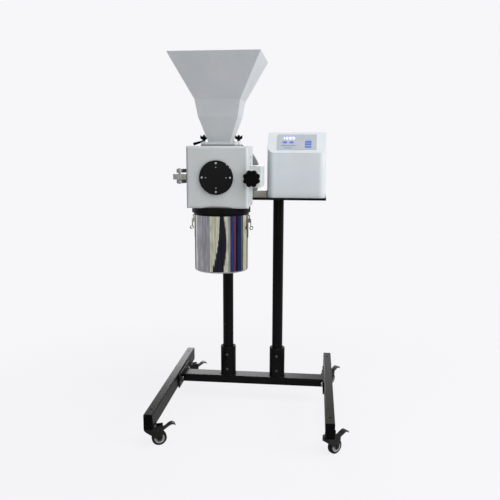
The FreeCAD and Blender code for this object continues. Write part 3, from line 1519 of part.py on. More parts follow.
def make_nodes():
    """Every sub-part by its node name, before the shift to the origin."""
    nodes = {
        "left_leg": side_leg(-1),
        "right_leg": side_leg(1),
        "leg_end_caps": leg_end_caps(),
        "cross_beam": cross_beam(),
        "column_sockets": column_sockets(),
        "columns": columns(),
        "stand_bolts": stand_bolts(),
        "platform_plate": platform_plate(),
        "motor_base": motor_base(),
        "motor_bracket": motor_bracket(),
        "motor": motor(),
        "housing": housing(),
        "grinding_liner": grinding_liner(),
        "sieve": sieve(),
        "outlet_collar": outlet_collar(),
        "keeper_hooks": keeper_hooks(),
        "hinge_bracket": hinge_bracket(),
        "latch_block": latch_block(),
        "gate_frame": gate_frame(),
        "hopper": hopper(),
        "hopper_studs": hopper_studs(),
        "bearings": bearings(),
        "control_case": control_case(),
        "control_panel": control_panel(),
        "power_inlet": power_inlet(),
        "hopper_knob_left": hopper_knob("left"),
        "hopper_knob_right": hopper_knob("right"),
        "feed_gate": feed_gate(),
        "gate_grip": gate_grip(),
        "drive_shaft": drive_shaft(),
        "beater_rotor": beater_rotor(),
        "door": door(),
        "door_disc": door_disc(),
        "disc_screws": disc_screws(),
        "hinge_arm": hinge_arm(),
        "star_knob": star_knob(),
        "bucket": bucket(),
        "latch_bases": latch_bases(),
        "latch_lever_left": latch_lever(-1),
        "latch_lever_right": latch_lever(1),
        "latch_loop_left": latch_loop(-1),
        "latch_loop_right": latch_loop(1),
    }
    for name in keys:
        nodes[name] = key(name)
    stem, fork, wheel = caster_stem(), caster_fork(), caster_wheel()
    nodes["caster_stems"] = group([set_caster(stem, name) for name in caster_angles])
    for name in caster_angles:
        nodes[name + "_fork"] = set_caster(fork, name)
        nodes[name + "_wheel"] = set_caster(wheel, name)
        nodes[name + "_pedal"] = set_caster(caster_pedal(pedal_angles[name]), name)
    return nodes


def shift_to_origin(nodes):
    """The move that puts the origin on the floor below the middle of the whole."""
    whole = Part.makeCompound(list(nodes.values())).optimalBoundingBox(False, False)
    return vec(-(whole.XMin + whole.XMax) / 2, -(whole.YMin + whole.YMax) / 2, -whole.ZMin)


def main():
    os.makedirs("parts", exist_ok=True)
    nodes = make_nodes()
    shift = shift_to_origin(nodes)
    for name, shape in nodes.items():
        shape.translate(shift)
        shape.exportStep("parts/" + name + ".step")
    print(len(nodes), "nodes, shift", shift)
    return nodes


if __name__ == "__main__":
    main()
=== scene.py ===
import math

import bpy
from mathutils import Matrix, Vector


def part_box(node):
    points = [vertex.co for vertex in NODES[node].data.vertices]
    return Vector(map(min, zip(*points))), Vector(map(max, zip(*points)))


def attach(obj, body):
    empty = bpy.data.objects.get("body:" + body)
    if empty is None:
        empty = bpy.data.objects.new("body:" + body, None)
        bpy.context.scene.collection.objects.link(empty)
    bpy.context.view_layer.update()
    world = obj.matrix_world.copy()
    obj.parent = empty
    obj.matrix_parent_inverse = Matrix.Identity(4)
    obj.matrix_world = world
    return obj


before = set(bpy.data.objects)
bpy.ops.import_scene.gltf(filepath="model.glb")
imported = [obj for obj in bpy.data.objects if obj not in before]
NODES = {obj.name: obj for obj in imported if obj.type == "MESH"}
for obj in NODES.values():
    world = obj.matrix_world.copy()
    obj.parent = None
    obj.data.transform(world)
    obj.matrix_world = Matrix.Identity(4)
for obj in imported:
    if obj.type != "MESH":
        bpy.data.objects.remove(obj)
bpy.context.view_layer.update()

MM = 0.001
CASTERS = ("front_left", "front_right", "rear_left", "rear_right")

# The photograph's camera, counted from the housing's lowest front left corner, in millimetres and degrees
CAMERA_FROM_HOUSING = (430.1, -2010.0, 179.7)
CAMERA_TURN = 6.2265
CAMERA_TILT = 80.8616
CAMERA_ROLL = 0.1426
LENS = 43.582
SENSOR = 36.0

# The backdrop, and the share of it that lights the object
BACKDROP = "F7F6F9"
AMBIENT = 0.24

# The floor in metres: a share of real shadow, full out to a share of its reach, and how bright mirrors see it
FLOOR_WIDTH = 30.0
SHADOW_SHARE = 0.1
SHADOW_REACH = 1.5
SHADOW_FULL_SHARE = 0.5
FLOOR_IN_MIRRORS = 0.45

# Soft boxes: name, place, height of the point over the origin that each looks at, width in metres and watts
SOFT_BOXES = (
    ("top_light", (0.7, -0.9, 3.2), 0.9, 1.8, 40.0),
    ("right_light", (2.7, -0.9, 1.7), 0.8, 1.6, 50.0),
    ("front_light", (1.0, -3.4, 1.5), 0.8, 1.8, 5.0),
    ("back_light", (-0.9, 3.4, 1.6), 0.8, 1.8, 40.0),
)

# Patterns: where noise passes from the first colour to the second, and from the smoother to the rougher
TONE_LOW, TONE_HIGH = 0.35, 0.65
GRAIN_LOW, GRAIN_HIGH = 0.3, 0.7

# A piece is shaded smooth up to one of these angles, in degrees: the second is for domes and beads
SHARP_CREASE = 35.0
ROUND_CREASE = 60.0

# A face of a piece that lies flat looks outward where the Z of its normal is over this
OUTWARD = 0.9

# A plate's corners are rounded in steps, and the chamfer round its outer face is this part of its thickness
# wide and this part high
PLATE_CORNER_STEPS = 3
PLATE_RIM_PART = 3
PLATE_RISE_PART = 6

# A plate's outer face is picked within this part of its thickness from the top
PLATE_FACE_PART = 10

# Control panel: the fascia's slope, and places in millimetres across and up it, counted from the panel's
# lower left corner
FASCIA_RISE, FASCIA_RUN = 72.0, 65.0
PANEL_SLOPE = math.atan2(FASCIA_RISE, FASCIA_RUN)
PANEL_THICKNESS = 1.2
WINDOW_LEFT, WINDOW_LOW, WINDOW_WIDTH, WINDOW_HEIGHT, WINDOW_DEPTH = 18.5, 48.0, 46.0, 14.6, 0.6
WINDOW_GAP, WINDOW_RECESS, WINDOW_CORNER = 0.2, 0.2, 0.8
LAMP_PLACE, LAMP_RADIUS = (88.8, 25.0), 2.2

# The lamp's dome is a ball cut off above its middle by this part of its radius
LAMP_SUNK_PART = 3

# Display figures: they lie on the lens, and their level bars a hair above the upright ones. Out counts from
# the panel's face
DIGIT_CENTRES = (22.7, 34.7, 46.8, 58.8)
DIGIT_MIDDLE, DIGIT_WIDTH, DIGIT_HEIGHT = 54.6, 7.0, 10.5
SEGMENT_WIDTH, SEGMENT_THICKNESS = 1.7, 0.15
SEGMENT_CORNER_PART = 3
UPRIGHT_BAR_OUT, LEVEL_BAR_OUT = -0.18, -0.17

# Printed rows: name, ink, left end, height of the row's middle, the ticks' height, their widths and the gap
PRINT_HEIGHT = 0.08
PRINT_CORNER_PART = 5
PRINTED_ROWS = (
    ("printed_scale_under_keys", "blue_ink", 16.1, 18.8, 3.2, (6, 4, 7, 4, 7, 4, 6, 5), 0.8),
    ("printed_scale_below", "blue_ink", 26.5, 8.6, 2.6, (4, 6, 4, 5, 4), 0.8),
    ("printed_marks_left", "pale_ink", 81.5, 47.5, 1.8, (4, 3, 4), 1.0),
    ("printed_marks_right", "pale_ink", 104.5, 47.5, 1.8, (5, 3, 6, 5), 1.2),
    ("printed_dot_left", "pale_ink", 87.8, 57.2, 1.4, (1.4,), 0.0),
    ("printed_dot_right", "pale_ink", 114.8, 57.2, 1.4, (1.4,), 0.0),
)

# Marks on the keys, which stand this far out of the panel
KEY_FACE = 0.2
KEYS = ("key_left", "key_right", "key_top", "key_middle", "key_bottom")
STROKE_LENGTH, STROKE_WIDTH = 4.6, 1.1
PAIR_WIDTH, PAIR_HEIGHT, PAIR_FROM_MIDDLE = 1.2, 3.8, 1.3
SQUARE_SIDE, SQUARE_CORNER = 3.4, 0.4
TRIANGLE_RADIUS = 2.4
MARK_CORNER = 0.3
SECOND_STROKE_LIFT_PART = 10

# Small socket screws in the housing's side: how far back and down from its front upper corner each one is
SIDE_SCREWS = ((42.0, 36.0), (36.0, 60.0))
SCREW_RADIUS, SCREW_THICKNESS, SCREW_OUT = 2.6, 1.2, 0.5
SCREW_SOCKET_RIM, SCREW_SOCKET_DEPTH, SCREW_CHAMFER = 1.2, 0.9, 0.35
SCREW_SIDES = 36

# An edge belongs to a screw's outer rim where both its ends are within this of it, in millimetres
RIM_MARGIN = 0.1

# Weld beads: the bead's radius, how far its middle is outside the socket and above the foot, and its ripple
WELD_RADIUS, WELD_OUT, WELD_UP = 2.0, 0.6, 0.2
WELD_RIPPLE, WELD_RIPPLE_SPACING = 0.5, 4.0

# The tyre begins at this share of the wheel's radius
HUB_SHARE = 0.8

# Where the room's broad bands begin, as shares across the bucket's width from -1 at its left edge to 1
ROOM_BANDS = ((-1.0, "olive"), (-0.93, "lilac"), (-0.87, "haze"), (-0.67, "grey"), (-0.405, "beige"),
              (0.23, "haze"), (0.3, "slate"), (0.36, "blue"), (0.44, "russet"), (0.5, "night"),
              (0.56, "navy"), (0.69, "olive"), (0.77, "beige"), (0.97, "olive"))
ROOM_COLOURS = {"olive": "5E5B50", "lilac": "C2C1CC", "haze": "94939A", "grey": "8E8C96", "beige": "BDBCAC",
                "slate": "3A3D52", "blue": "2E4078", "russet": "6E3446", "night": "15151C", "navy": "20315C",
                "wedge": "24232E"}

# The room's wall in metres, and the stretch of it that the bucket shows from its foot to its top
ROOM_RADIUS = 0.6
ROOM_LOW, ROOM_HIGH = 0.3, 0.95
ROOM_MIRRORED_LOW, ROOM_MIRRORED_TOP = 0.458, 0.72
ROOM_SIDES, ROOM_CUTS = 240, 23
BLOTCH_WIDTH, BLOTCH_DIM, BLOTCH_BRIGHT = 60.0, 0.85, 1.7

# The room's dark wedge: its edges at the top, and how the left one spreads and the right one bulges below
WEDGE_LEFT, WEDGE_SPREAD, WEDGE_CURVE = -0.06, 0.3, 2.5
WEDGE_RIGHT, WEDGE_BULGE = 0.05, 0.12


def linear(code):
    """A hex colour as seen on screen, turned to the linear values that a shader takes."""
    channels = [int(code[n:n + 2], 16) / 255 for n in (0, 2, 4)]
    return [c / 12.92 if c <= 0.04045 else ((c + 0.055) / 1.055) ** 2.4 for c in channels] + [1.0]


def add(tree, kind, values=None, links=None, **settings):
    """One node with its settings, the fixed values of its sockets and what is plugged into it."""
    node = tree.nodes.new(kind)
    for name, value in settings.items():
        setattr(node, name, value)
    for name, value in (values or {}).items():
        node.inputs[name].default_value = value
    for name, source in (links or {}).items():
        tree.links.new(source, node.inputs[name])
    return node


def blank(name):
    """A new material with an empty tree."""
    material = bpy.data.materials.new(name)
    material.use_nodes = True
    material.node_tree.nodes.clear()
    return material, material.node_tree


def wandering_tint(tree, noise, colour, second):
    """A colour that follows a noise from one value to another."""
    tone = add(tree, "ShaderNodeMapRange", {"From Min": TONE_LOW, "From Max": TONE_HIGH},
               {"Value": noise.outputs["Fac"]})
    tint = add(tree, "ShaderNodeMix", {6: linear(colour), 7: linear(second)}, {0: tone.outputs["Result"]},
               data_type="RGBA")
    return tint.outputs[2]


def coat(name, colour, second, gloss, grain, relief, stretch=(1, 1, 1), wander=90.0, **shader):
    """A finish with fine grain in relief, whose colour wanders slowly between two values and whose roughness
    follows the grain between two more. Grain and wander are the widths of the patterns in millimetres, and
    relief is the grain's height. A stretch under 1 draws the grain out along that axis."""
    material, tree = blank(name)
    place = add(tree, "ShaderNodeTexCoord").outputs["Object"]
    fine_place = add(tree, "ShaderNodeMapping", {"Scale": [share / (grain * MM) for share in stretch]},
                     {"Vector": place})
    fine = add(tree, "ShaderNodeTexNoise", {"Scale": 1.0, "Detail": 3.0, "Roughness": 0.55},
               {"Vector": fine_place.outputs["Vector"]})
    slow = add(tree, "ShaderNodeTexNoise", {"Scale": 1 / (wander * MM), "Detail": 4.0, "Roughness": 0.6},
               {"Vector": place})
    tint = wandering_tint(tree, slow, colour, second)
    rough = add(tree, "ShaderNodeMapRange",
                {"From Min": GRAIN_LOW, "From Max": GRAIN_HIGH, "To Min": gloss[0], "To Max": gloss[1]},
                {"Value": fine.outputs["Fac"]})
    bump = add(tree, "ShaderNodeBump", {"Distance": relief * MM}, {"Height": fine.outputs["Fac"]})
    values = {socket.replace("_", " "): value for socket, value in shader.items()}
    links = {"Base Color": tint, "Roughness": rough.outputs["Result"], "Normal": bump.outputs["Normal"]}
    body = add(tree, "ShaderNodeBsdfPrincipled", values, links)
    add(tree, "ShaderNodeOutputMaterial", {}, {"Surface": body.outputs["BSDF"]})
    return material


def glow(name, colour, second, wander, strength):
    """A lit plastic whose light wanders between two colours, in a pattern so many millimetres wide."""
    material, tree = blank(name)
    place = add(tree, "ShaderNodeTexCoord").outputs["Object"]
    spread = add(tree, "ShaderNodeTexNoise", {"Scale": 1 / (wander * MM), "Detail": 2.0}, {"Vector": place})
    tint = wandering_tint(tree, spread, colour, second)
    body = add(tree, "ShaderNodeBsdfPrincipled",
               {"Base Color": linear(second), "Roughness": 0.2, "Emission Strength": strength},
               {"Emission Color": tint})
    add(tree, "ShaderNodeOutputMaterial", {}, {"Surface": body.outputs["BSDF"]})
    return material


finishes = {
    # Sprayed enamel on castings: pale, satin, with a shallow orange peel drawn 4 mm wide so that it shows
    "enamel": coat("sprayed_enamel_pale_grey", "CFD5D5", "D5DADA", (0.36, 0.46), 4.0, 0.02),
    # Powder coat on folded sheet: finer grained, more matt and more neutral
    "sheet_coat": coat("powder_coat_pale_grey", "CFD4D7", "D5D9DC", (0.42, 0.52), 3.0, 0.015),
    # Textured powder coat on the control box: bluer and more matt
    "box_coat": coat("textured_powder_coat_white", "CFD6DA", "D5DBDE", (0.45, 0.55), 2.2, 0.03),
    # Satin black powder coat on tube and plate, whose fine leather grain breaks up what it reflects
    "black_coat": coat("powder_coat_satin_black", "0A0A0B", "0E0E0F", (0.3, 0.4), 3.0, 0.03,
                       Specular_IOR_Level=0.13),
    # Black oxide on turned steel: nearly as dark as the paint, with a duller sheen
    "black_oxide": coat("black_oxide_steel", "0E0E10", "121214", (0.38, 0.5), 1.2, 0.01,
                        Specular_IOR_Level=0.14),
    # Glass-filled nylon, matt from the mould
    "nylon": coat("moulded_nylon_black", "050506", "080809", (0.5, 0.62), 1.0, 0.02, Specular_IOR_Level=0.06),
    # Brake pedals: a greyer and glossier nylon, mottled lighter in random patches about 12 mm wide
    "pedal_nylon": coat("moulded_nylon_dark_grey", "1E2022", "303335", (0.3, 0.45), 6.0, 0.04, wander=12.0,
                        Specular_IOR_Level=0.35),
    # Swivel forks: smooth dark coat over pressed steel, browner in patches
    "fork_coat": coat("electrophoretic_coat_black", "0B0B0B", "1B1A17", (0.3, 0.42), 2.5, 0.03, wander=14.0,
                      Specular_IOR_Level=0.3),
    # Bright zinc on screws, bolts and stems
    "zinc": coat("zinc_plated_steel", "C6CACD", "B5BABE", (0.2, 0.32), 2.5, 0.01, Metallic=1.0),
    # Passivated zinc, much duller, on the socket screws
    "dull_zinc": coat("passivated_zinc_steel", "6A6C6F", "505255", (0.35, 0.5), 1.5, 0.01, Metallic=1.0),
    # Nickelled spring steel of the toggle latches: warm and bright
    "nickel": coat("nickel_plated_spring_steel", "D8D9D6", "BDBEBB", (0.12, 0.22), 3.0, 0.01, Metallic=1.0),
    # Cold drawn bar, with long scratches from left to right
    "milled": coat("milled_steel_bar", "CCCAC4", "B2B0AA", (0.28, 0.42), 1.5, 0.01, (0.04, 1, 1),
                   Metallic=1.0),
    # Hinge parts: shot-blasted and passivated, so dull with olive patches
    "cast_steel": coat("shot_blasted_passivated_steel", "B0B0B4", "8F8F84", (0.42, 0.55), 1.8, 0.04,
                       wander=16.0, Metallic=1.0),
    # Cutting parts, ground all over from front to back
    "tool_steel": coat("ground_tool_steel", "A8A9AA", "939495", (0.25, 0.38), 0.8, 0.01, (1, 0.1, 1),
                       Metallic=1.0),
    # Feed gate's frame: grey machine enamel, a shade darker than the motor's
    "gate_enamel": coat("machine_enamel_slate_grey", "7C7F81", "878A8C", (0.4, 0.5), 3.0, 0.02),
    # Motor and its bracket: the same enamel in a mid grey, over a rougher casting
    "motor_enamel": coat("machine_enamel_mid_grey", "8C8D8E", "949596", (0.4, 0.5), 3.0, 0.03),
    # Tyres: soft rubber, matt and nearly black
    "rubber": coat("thermoplastic_rubber_black", "0E0E0E", "151515", (0.55, 0.7), 1.5, 0.03,
                   Specular_IOR_Level=0.2),
    # Wheel hubs: moulded plastic with a satin face
    "hub": coat("polypropylene_pale_grey", "A3A29F", "ABAAA7", (0.35, 0.45), 2.0, 0.01),
    # Keys: coloured silicone, smooth and a little dull
    "keys": coat("moulded_silicone_blue", "4A6CC8", "5474CE", (0.38, 0.46), 1.0, 0.01),
    # Control panel: fine-grained film, darker and bluer than the box round it
    "film": coat("polyester_overlay_film_grey_blue", "A9B1B8", "AFB6BC", (0.42, 0.5), 1.2, 0.006),
    # Printing inks lie matt on the film
    "blue_ink": coat("screen_print_ink_blue", "4A5FA6", "5A6EAE", (0.5, 0.6), 0.8, 0.004),
    "pale_ink": coat("screen_print_ink_grey_blue", "8592B2", "8F9BB8", (0.5, 0.6), 0.8, 0.004),
    "dark_ink": coat("screen_print_ink_navy", "22327E", "2C3C86", (0.5, 0.6), 0.8, 0.004),
    # Display: a lilac lens, with figures that burn out to white
    "lens": glow("lit_acrylic_lens", "8F92EE", "A9AEE4", 9.0, 0.35),
    "figures": glow("led_figures_white", "FFFFFF", "F1ECFF", 5.0, 0.9),
    # Status lamp: a small dome, faintly lit in rose
    "lamp": glow("led_dome_rose", "EAB4CA", "DCA0BA", 2.0, 0.35),
    # Drawn and polished stainless: nearly a mirror, with slow waves drawn out down the wall
    "polished": coat("polished_stainless_steel", "D6D6D4", "CCCCCA", (0.04, 0.09), 45.0, 0.09, (1, 1, 0.3),
                     Metallic=1.0),
}

DRESS = {
    "black_coat": ["left_leg", "right_leg", "cross_beam", "column_sockets", "columns", "platform_plate",
                   "outlet_collar"],
    "gate_enamel": ["gate_frame"],
    "nylon": ["leg_end_caps", "star_knob", "hopper_knob_left", "hopper_knob_right", "gate_grip",
              "power_inlet"],
    "pedal_nylon": [name + "_pedal" for name in CASTERS],
    "zinc": ["stand_bolts", "caster_stems", "disc_screws", "hopper_studs"],
    "fork_coat": [name + "_fork" for name in CASTERS],
    "milled": ["motor_base"],
    "cast_steel": ["hinge_bracket", "hinge_arm"],
    "nickel": ["keeper_hooks", "latch_bases", "latch_lever_left", "latch_lever_right", "latch_loop_left",
               "latch_loop_right"],
    "tool_steel": ["drive_shaft", "beater_rotor", "grinding_liner", "sieve", "bearings"],
    "sheet_coat": ["hopper"],
    "polished": ["bucket"],
    "black_oxide": ["feed_gate", "door_disc"],
    "enamel": ["housing", "door", "latch_block"],
    "box_coat": ["control_case"],
    "motor_enamel": ["motor", "motor_bracket"],
    "film": ["control_panel"],
    "keys": KEYS,
    "rubber": [name + "_wheel" for name in CASTERS],
}


def dress():
    """Gives every CAD node its finish."""
    for finish, members in DRESS.items():
        for node in members:
            mesh = NODES[node].data
            mesh.materials.clear()
            mesh.materials.append(finishes[finish])


def dress_again(node, finish, belongs):
    """Gives a second finish to the faces of a node whose middles pass a test."""
    mesh = NODES[node].data
    mesh.materials.append(finishes[finish])
    second = len(mesh.materials) - 1
    for face in mesh.polygons:
        if belongs(face.center):
            face.material_index = second


def middle(node):
    """The middle of a CAD node's box."""
    low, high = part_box(node)
    return (Vector(low) + Vector(high)) / 2


def second_finishes():
    """The hubs are paler than the tyres, and the screws between the sockets duller than the beam's bolts."""
    for caster in CASTERS:
        wheel = caster + "_wheel"
        low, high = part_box(wheel)
        radius = (Vector(high) - Vector(low)).z / 2
        hub_middle = middle(wheel)
        dress_again(wheel, "hub", lambda point: (point - hub_middle).length < radius * HUB_SHARE)
    low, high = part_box("column_sockets")
    dress_again("stand_bolts", "dull_zinc", lambda point: low[0] < point.x < high[0])


def settle(name, finish, body, place, crease=SHARP_CREASE):
    """Moves the piece just modelled to its place, gives it its finish and makes it ride on its body."""
    bpy.ops.object.mode_set(mode="OBJECT")
    made = bpy.context.object
    made.name = name
    made.data.name = name
    made.matrix_world = place @ made.matrix_world
    bpy.ops.object.transform_apply(location=True, rotation=True, scale=True)
    bpy.ops.object.shade_smooth_by_angle(angle=math.radians(crease))
    made.data.materials.clear()
    made.data.materials.append(finishes[finish])
    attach(made, body)
    return made


def pick_nothing():
    """Clears the selection on the piece being modelled, and gives its mesh."""
    bpy.ops.object.mode_set(mode="OBJECT")
    mesh = bpy.context.object.data
    for part in (mesh.vertices, mesh.edges, mesh.polygons):
        for item in part:
            item.select = False
    return mesh


def pick_faces(test):
    """Selects the faces of the piece being modelled that pass a test, and goes on in edit mode."""
    mesh = pick_nothing()
    for face in mesh.polygons:
        face.select = test(face)
    bpy.ops.object.mode_set(mode="EDIT")
    bpy.ops.mesh.select_mode(type="FACE")


def pick_edges(test):
    """Selects the edges whose two ends pass a test, and goes on in edit mode."""
    mesh = pick_nothing()
    for edge in mesh.edges:
        start, end = (mesh.vertices[n].co for n in edge.vertices)
        edge.select = test(start, end)
    bpy.ops.object.mode_set(mode="EDIT")
    bpy.ops.mesh.select_mode(type="EDGE")


def panel_place():
    """The frame of the fascia panel: across, up the slope and out of it, from its lower left corner."""
    low = Vector(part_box("control_panel")[0])
    low.z += PANEL_THICKNESS * MM * math.cos(PANEL_SLOPE)
    return Matrix.Translation(low) @ Matrix.Rotation(PANEL_SLOPE, 4, "X")


def slab(width, height, thickness, corner, across=0.0, up=0.0, out=0.0):
    """A flat plate with softened upright corners and a small chamfer round its outer face, in millimetres."""
    bpy.ops.object.select_all(action="DESELECT")
    bpy.ops.mesh.primitive_cube_add(size=1.0, location=(0, 0, 0))
    plate = bpy.context.object
    plate.scale = (width * MM, height * MM, thickness * MM)
    plate.location = (across * MM, up * MM, (out + thickness / 2) * MM)
    bpy.ops.object.transform_apply(location=True, rotation=True, scale=True)
    pick_edges(lambda start, end: abs(start.z - end.z) > thickness * MM / 2)
    bpy.ops.mesh.bevel(offset=corner * MM, segments=PLATE_CORNER_STEPS, affect="EDGES")
    lowest = (out + thickness) * MM - thickness * MM / PLATE_FACE_PART
    pick_faces(lambda face: face.normal.z > OUTWARD and face.center.z > lowest)
    bpy.ops.mesh.inset(thickness=thickness * MM / PLATE_RIM_PART, depth=thickness * MM / PLATE_RISE_PART)
    bpy.ops.mesh.normals_make_consistent(inside=False)
    bpy.ops.object.mode_set(mode="OBJECT")
    return plate


def join(plates):
    """Joins plates modelled one by one, the last one made being the one that stays."""
    bpy.ops.object.select_all(action="DESELECT")
    for plate in plates:
        plate.select_set(True)
    bpy.context.view_layer.objects.active = plates[-1]
    bpy.ops.object.join()


def figure(centre, edges, levels):
    """One figure of bars: uprights at its edges, right 1 or left -1, and level bars, low -1 or high 1."""
    side = DIGIT_WIDTH / 2 - SEGMENT_WIDTH / 2
    rise = DIGIT_HEIGHT / 4 - SEGMENT_WIDTH / 4
    length = DIGIT_HEIGHT / 2 - SEGMENT_WIDTH / 2
    corner = SEGMENT_WIDTH / SEGMENT_CORNER_PART
    bars = []
    for edge in edges:
        for half in (1, -1):
            bars.append(slab(SEGMENT_WIDTH, length, SEGMENT_THICKNESS, corner, centre + edge * side,
                             DIGIT_MIDDLE + half * rise, UPRIGHT_BAR_OUT))
    for level in levels:
        bars.append(slab(DIGIT_WIDTH - SEGMENT_WIDTH, SEGMENT_WIDTH, SEGMENT_THICKNESS, corner, centre,
                         DIGIT_MIDDLE + level * (2 * rise + SEGMENT_WIDTH / 4), LEVEL_BAR_OUT))
    join(bars)


def display():
    """The lit lens in the panel's window and the four figures on it, a one and three noughts."""
    # The lens is the first plate made, and unlike later ones it gets all its edges bevelled. That is a known
    # fault: it leaves a lip round the lens that reaches past both faces
    place = panel_place()
    slab(WINDOW_WIDTH - 2 * WINDOW_GAP, WINDOW_HEIGHT - 2 * WINDOW_GAP, WINDOW_DEPTH - WINDOW_RECESS,
         WINDOW_CORNER, WINDOW_LEFT + WINDOW_WIDTH / 2, WINDOW_LOW + WINDOW_HEIGHT / 2, -WINDOW_DEPTH)
    settle("display_lens", "lens", "stand", place)
    for number, centre in enumerate(DIGIT_CENTRES, start=1):
        if number == 1:
            figure(centre, edges=(1,), levels=())
        else:
            figure(centre, edges=(1, -1), levels=(-1, 1))
        settle(f"display_figure_{number}", "figures", "stand", place)


def status_lamp():
    """The small domed lamp beside the three keys."""
    sunk = LAMP_RADIUS * MM / LAMP_SUNK_PART
    bpy.ops.object.select_all(action="DESELECT")
    bpy.ops.mesh.primitive_uv_sphere_add(segments=32, ring_count=16, radius=LAMP_RADIUS * MM)
    bpy.ops.object.mode_set(mode="EDIT")
    bpy.ops.mesh.bisect(plane_co=(0, 0, sunk), plane_no=(0, 0, 1), use_fill=True, clear_inner=True)
    bpy.ops.mesh.select_all(action="SELECT")
    bpy.ops.transform.translate(value=(LAMP_PLACE[0] * MM, LAMP_PLACE[1] * MM, -sunk))
    settle("status_lamp", "lamp", "stand", panel_place(), ROUND_CREASE)


def ticks(name, finish, left, up, height, widths, gap):
    """A printed row of plain ticks of several widths."""
    bars = []
    for width in widths:
        bars.append(slab(width, height, PRINT_HEIGHT, height / PRINT_CORNER_PART, left + width / 2, up))
        left += width + gap
    join(bars)
    settle(name, finish, "stand", panel_place())


def triangle(across, up):
    """A flat triangle that points to the right."""
    bpy.ops.object.select_all(action="DESELECT")
    bpy.ops.mesh.primitive_circle_add(vertices=3, radius=TRIANGLE_RADIUS * MM, fill_type="NGON",
                                      location=(across * MM, up * MM, KEY_FACE * MM))
    bpy.ops.object.transform_apply(location=True, rotation=True, scale=True)
    bpy.ops.object.mode_set(mode="EDIT")
    bpy.ops.mesh.select_all(action="SELECT")
    bpy.ops.transform.rotate(value=math.radians(90), orient_axis="Z",
                             center_override=(across * MM, up * MM, KEY_FACE * MM))
    bpy.ops.mesh.extrude_region_move(TRANSFORM_OT_translate={"value": (0, 0, PRINT_HEIGHT * MM)})
    bpy.ops.mesh.select_all(action="SELECT")
    bpy.ops.mesh.normals_make_consistent(inside=False)
    bpy.ops.object.mode_set(mode="OBJECT")
    return bpy.context.object


def mark(width, height, across, up, corner=MARK_CORNER, lift=0.0):
    """One bar of a key's mark."""
    return slab(width, height, PRINT_HEIGHT, corner, across, up, KEY_FACE + lift)


def key_marks():
    """One raised mark on each key: minus, plus, triangle, two bars and a square."""
    place = panel_place()
    for key in KEYS:
        local = place.inverted() @ middle(key)
        across, up = local.x / MM, local.y / MM
        if key == "key_left":
            bars = [mark(STROKE_LENGTH, STROKE_WIDTH, across, up)]
        elif key == "key_right":
            bars = [mark(STROKE_LENGTH, STROKE_WIDTH, across, up),
                    mark(STROKE_WIDTH, STROKE_LENGTH, across, up,
                         lift=PRINT_HEIGHT / SECOND_STROKE_LIFT_PART)]
        elif key == "key_top":
            bars = [triangle(across, up)]
        elif key == "key_middle":
            bars = [mark(PAIR_WIDTH, PAIR_HEIGHT, across + side * PAIR_FROM_MIDDLE, up) for side in (-1, 1)]
        else:
            bars = [mark(SQUARE_SIDE, SQUARE_SIDE, across, up, SQUARE_CORNER)]
        join(bars)
        settle(key + "_mark", "dark_ink", key + "_cap", place)


def side_screws():
    """Two small socket screws in the housing's right side."""
    low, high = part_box("housing")
    top = (SCREW_THICKNESS / 2 - RIM_MARGIN) * MM
    rim = (SCREW_RADIUS - RIM_MARGIN) * MM
    for number, (back, down) in enumerate(SIDE_SCREWS, start=1):
        bpy.ops.object.select_all(action="DESELECT")
        bpy.ops.mesh.primitive_cylinder_add(vertices=SCREW_SIDES, radius=SCREW_RADIUS * MM,
                                            depth=SCREW_THICKNESS * MM)
        pick_faces(lambda face: face.normal.z > OUTWARD)
        bpy.ops.mesh.inset(thickness=SCREW_SOCKET_RIM * MM)
        bpy.ops.mesh.extrude_region_move(TRANSFORM_OT_translate={"value": (0, 0, -SCREW_SOCKET_DEPTH * MM)})
        pick_edges(lambda start, end: min(start.z, end.z) > top and start.xy.length > rim
                   and end.xy.length > rim)
        bpy.ops.mesh.bevel(offset=SCREW_CHAMFER * MM, segments=2, affect="EDGES")
        place = Matrix.Translation((high[0] + SCREW_OUT * MM, low[1] + back * MM, high[2] - down * MM))
        settle(f"housing_side_screw_{number}", "dull_zinc", "stand",
               place @ Matrix.Rotation(math.radians(90), 4, "Y"))


def socket_welds():
    """The weld bead that runs round the foot of each column socket."""
    low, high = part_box("column_sockets")
    radius = (high[1] - low[1]) / 2
    for name, x in (("left", low[0] + radius), ("right", high[0] - radius)):
        bpy.ops.object.select_all(action="DESELECT")
        bpy.ops.mesh.primitive_torus_add(major_segments=96, minor_segments=10,
                                         major_radius=radius + WELD_OUT * MM, minor_radius=WELD_RADIUS * MM)
        bpy.ops.object.mode_set(mode="EDIT")
        bpy.ops.mesh.select_all(action="SELECT")
        bpy.ops.mesh.bisect(plane_co=(0, 0, -WELD_UP * MM), plane_no=(0, 0, 1), use_fill=True,
                            clear_inner=True)
        bpy.ops.object.mode_set(mode="OBJECT")
        ripple = bpy.context.object.modifiers.new("ripple", "DISPLACE")
        ripple.texture = bpy.data.textures.new("weld_ripple", "WOOD")
        ripple.texture.wood_type = "RINGNOISE"
        ripple.texture.noise_scale = WELD_RIPPLE_SPACING * MM
        ripple.strength = WELD_RIPPLE * MM
        bpy.ops.object.modifier_apply(modifier="ripple")
        settle(f"{name}_socket_weld", "black_coat", "stand",
               Matrix.Translation((x, (low[1] + high[1]) / 2, low[2] + WELD_UP * MM)), ROUND_CREASE)


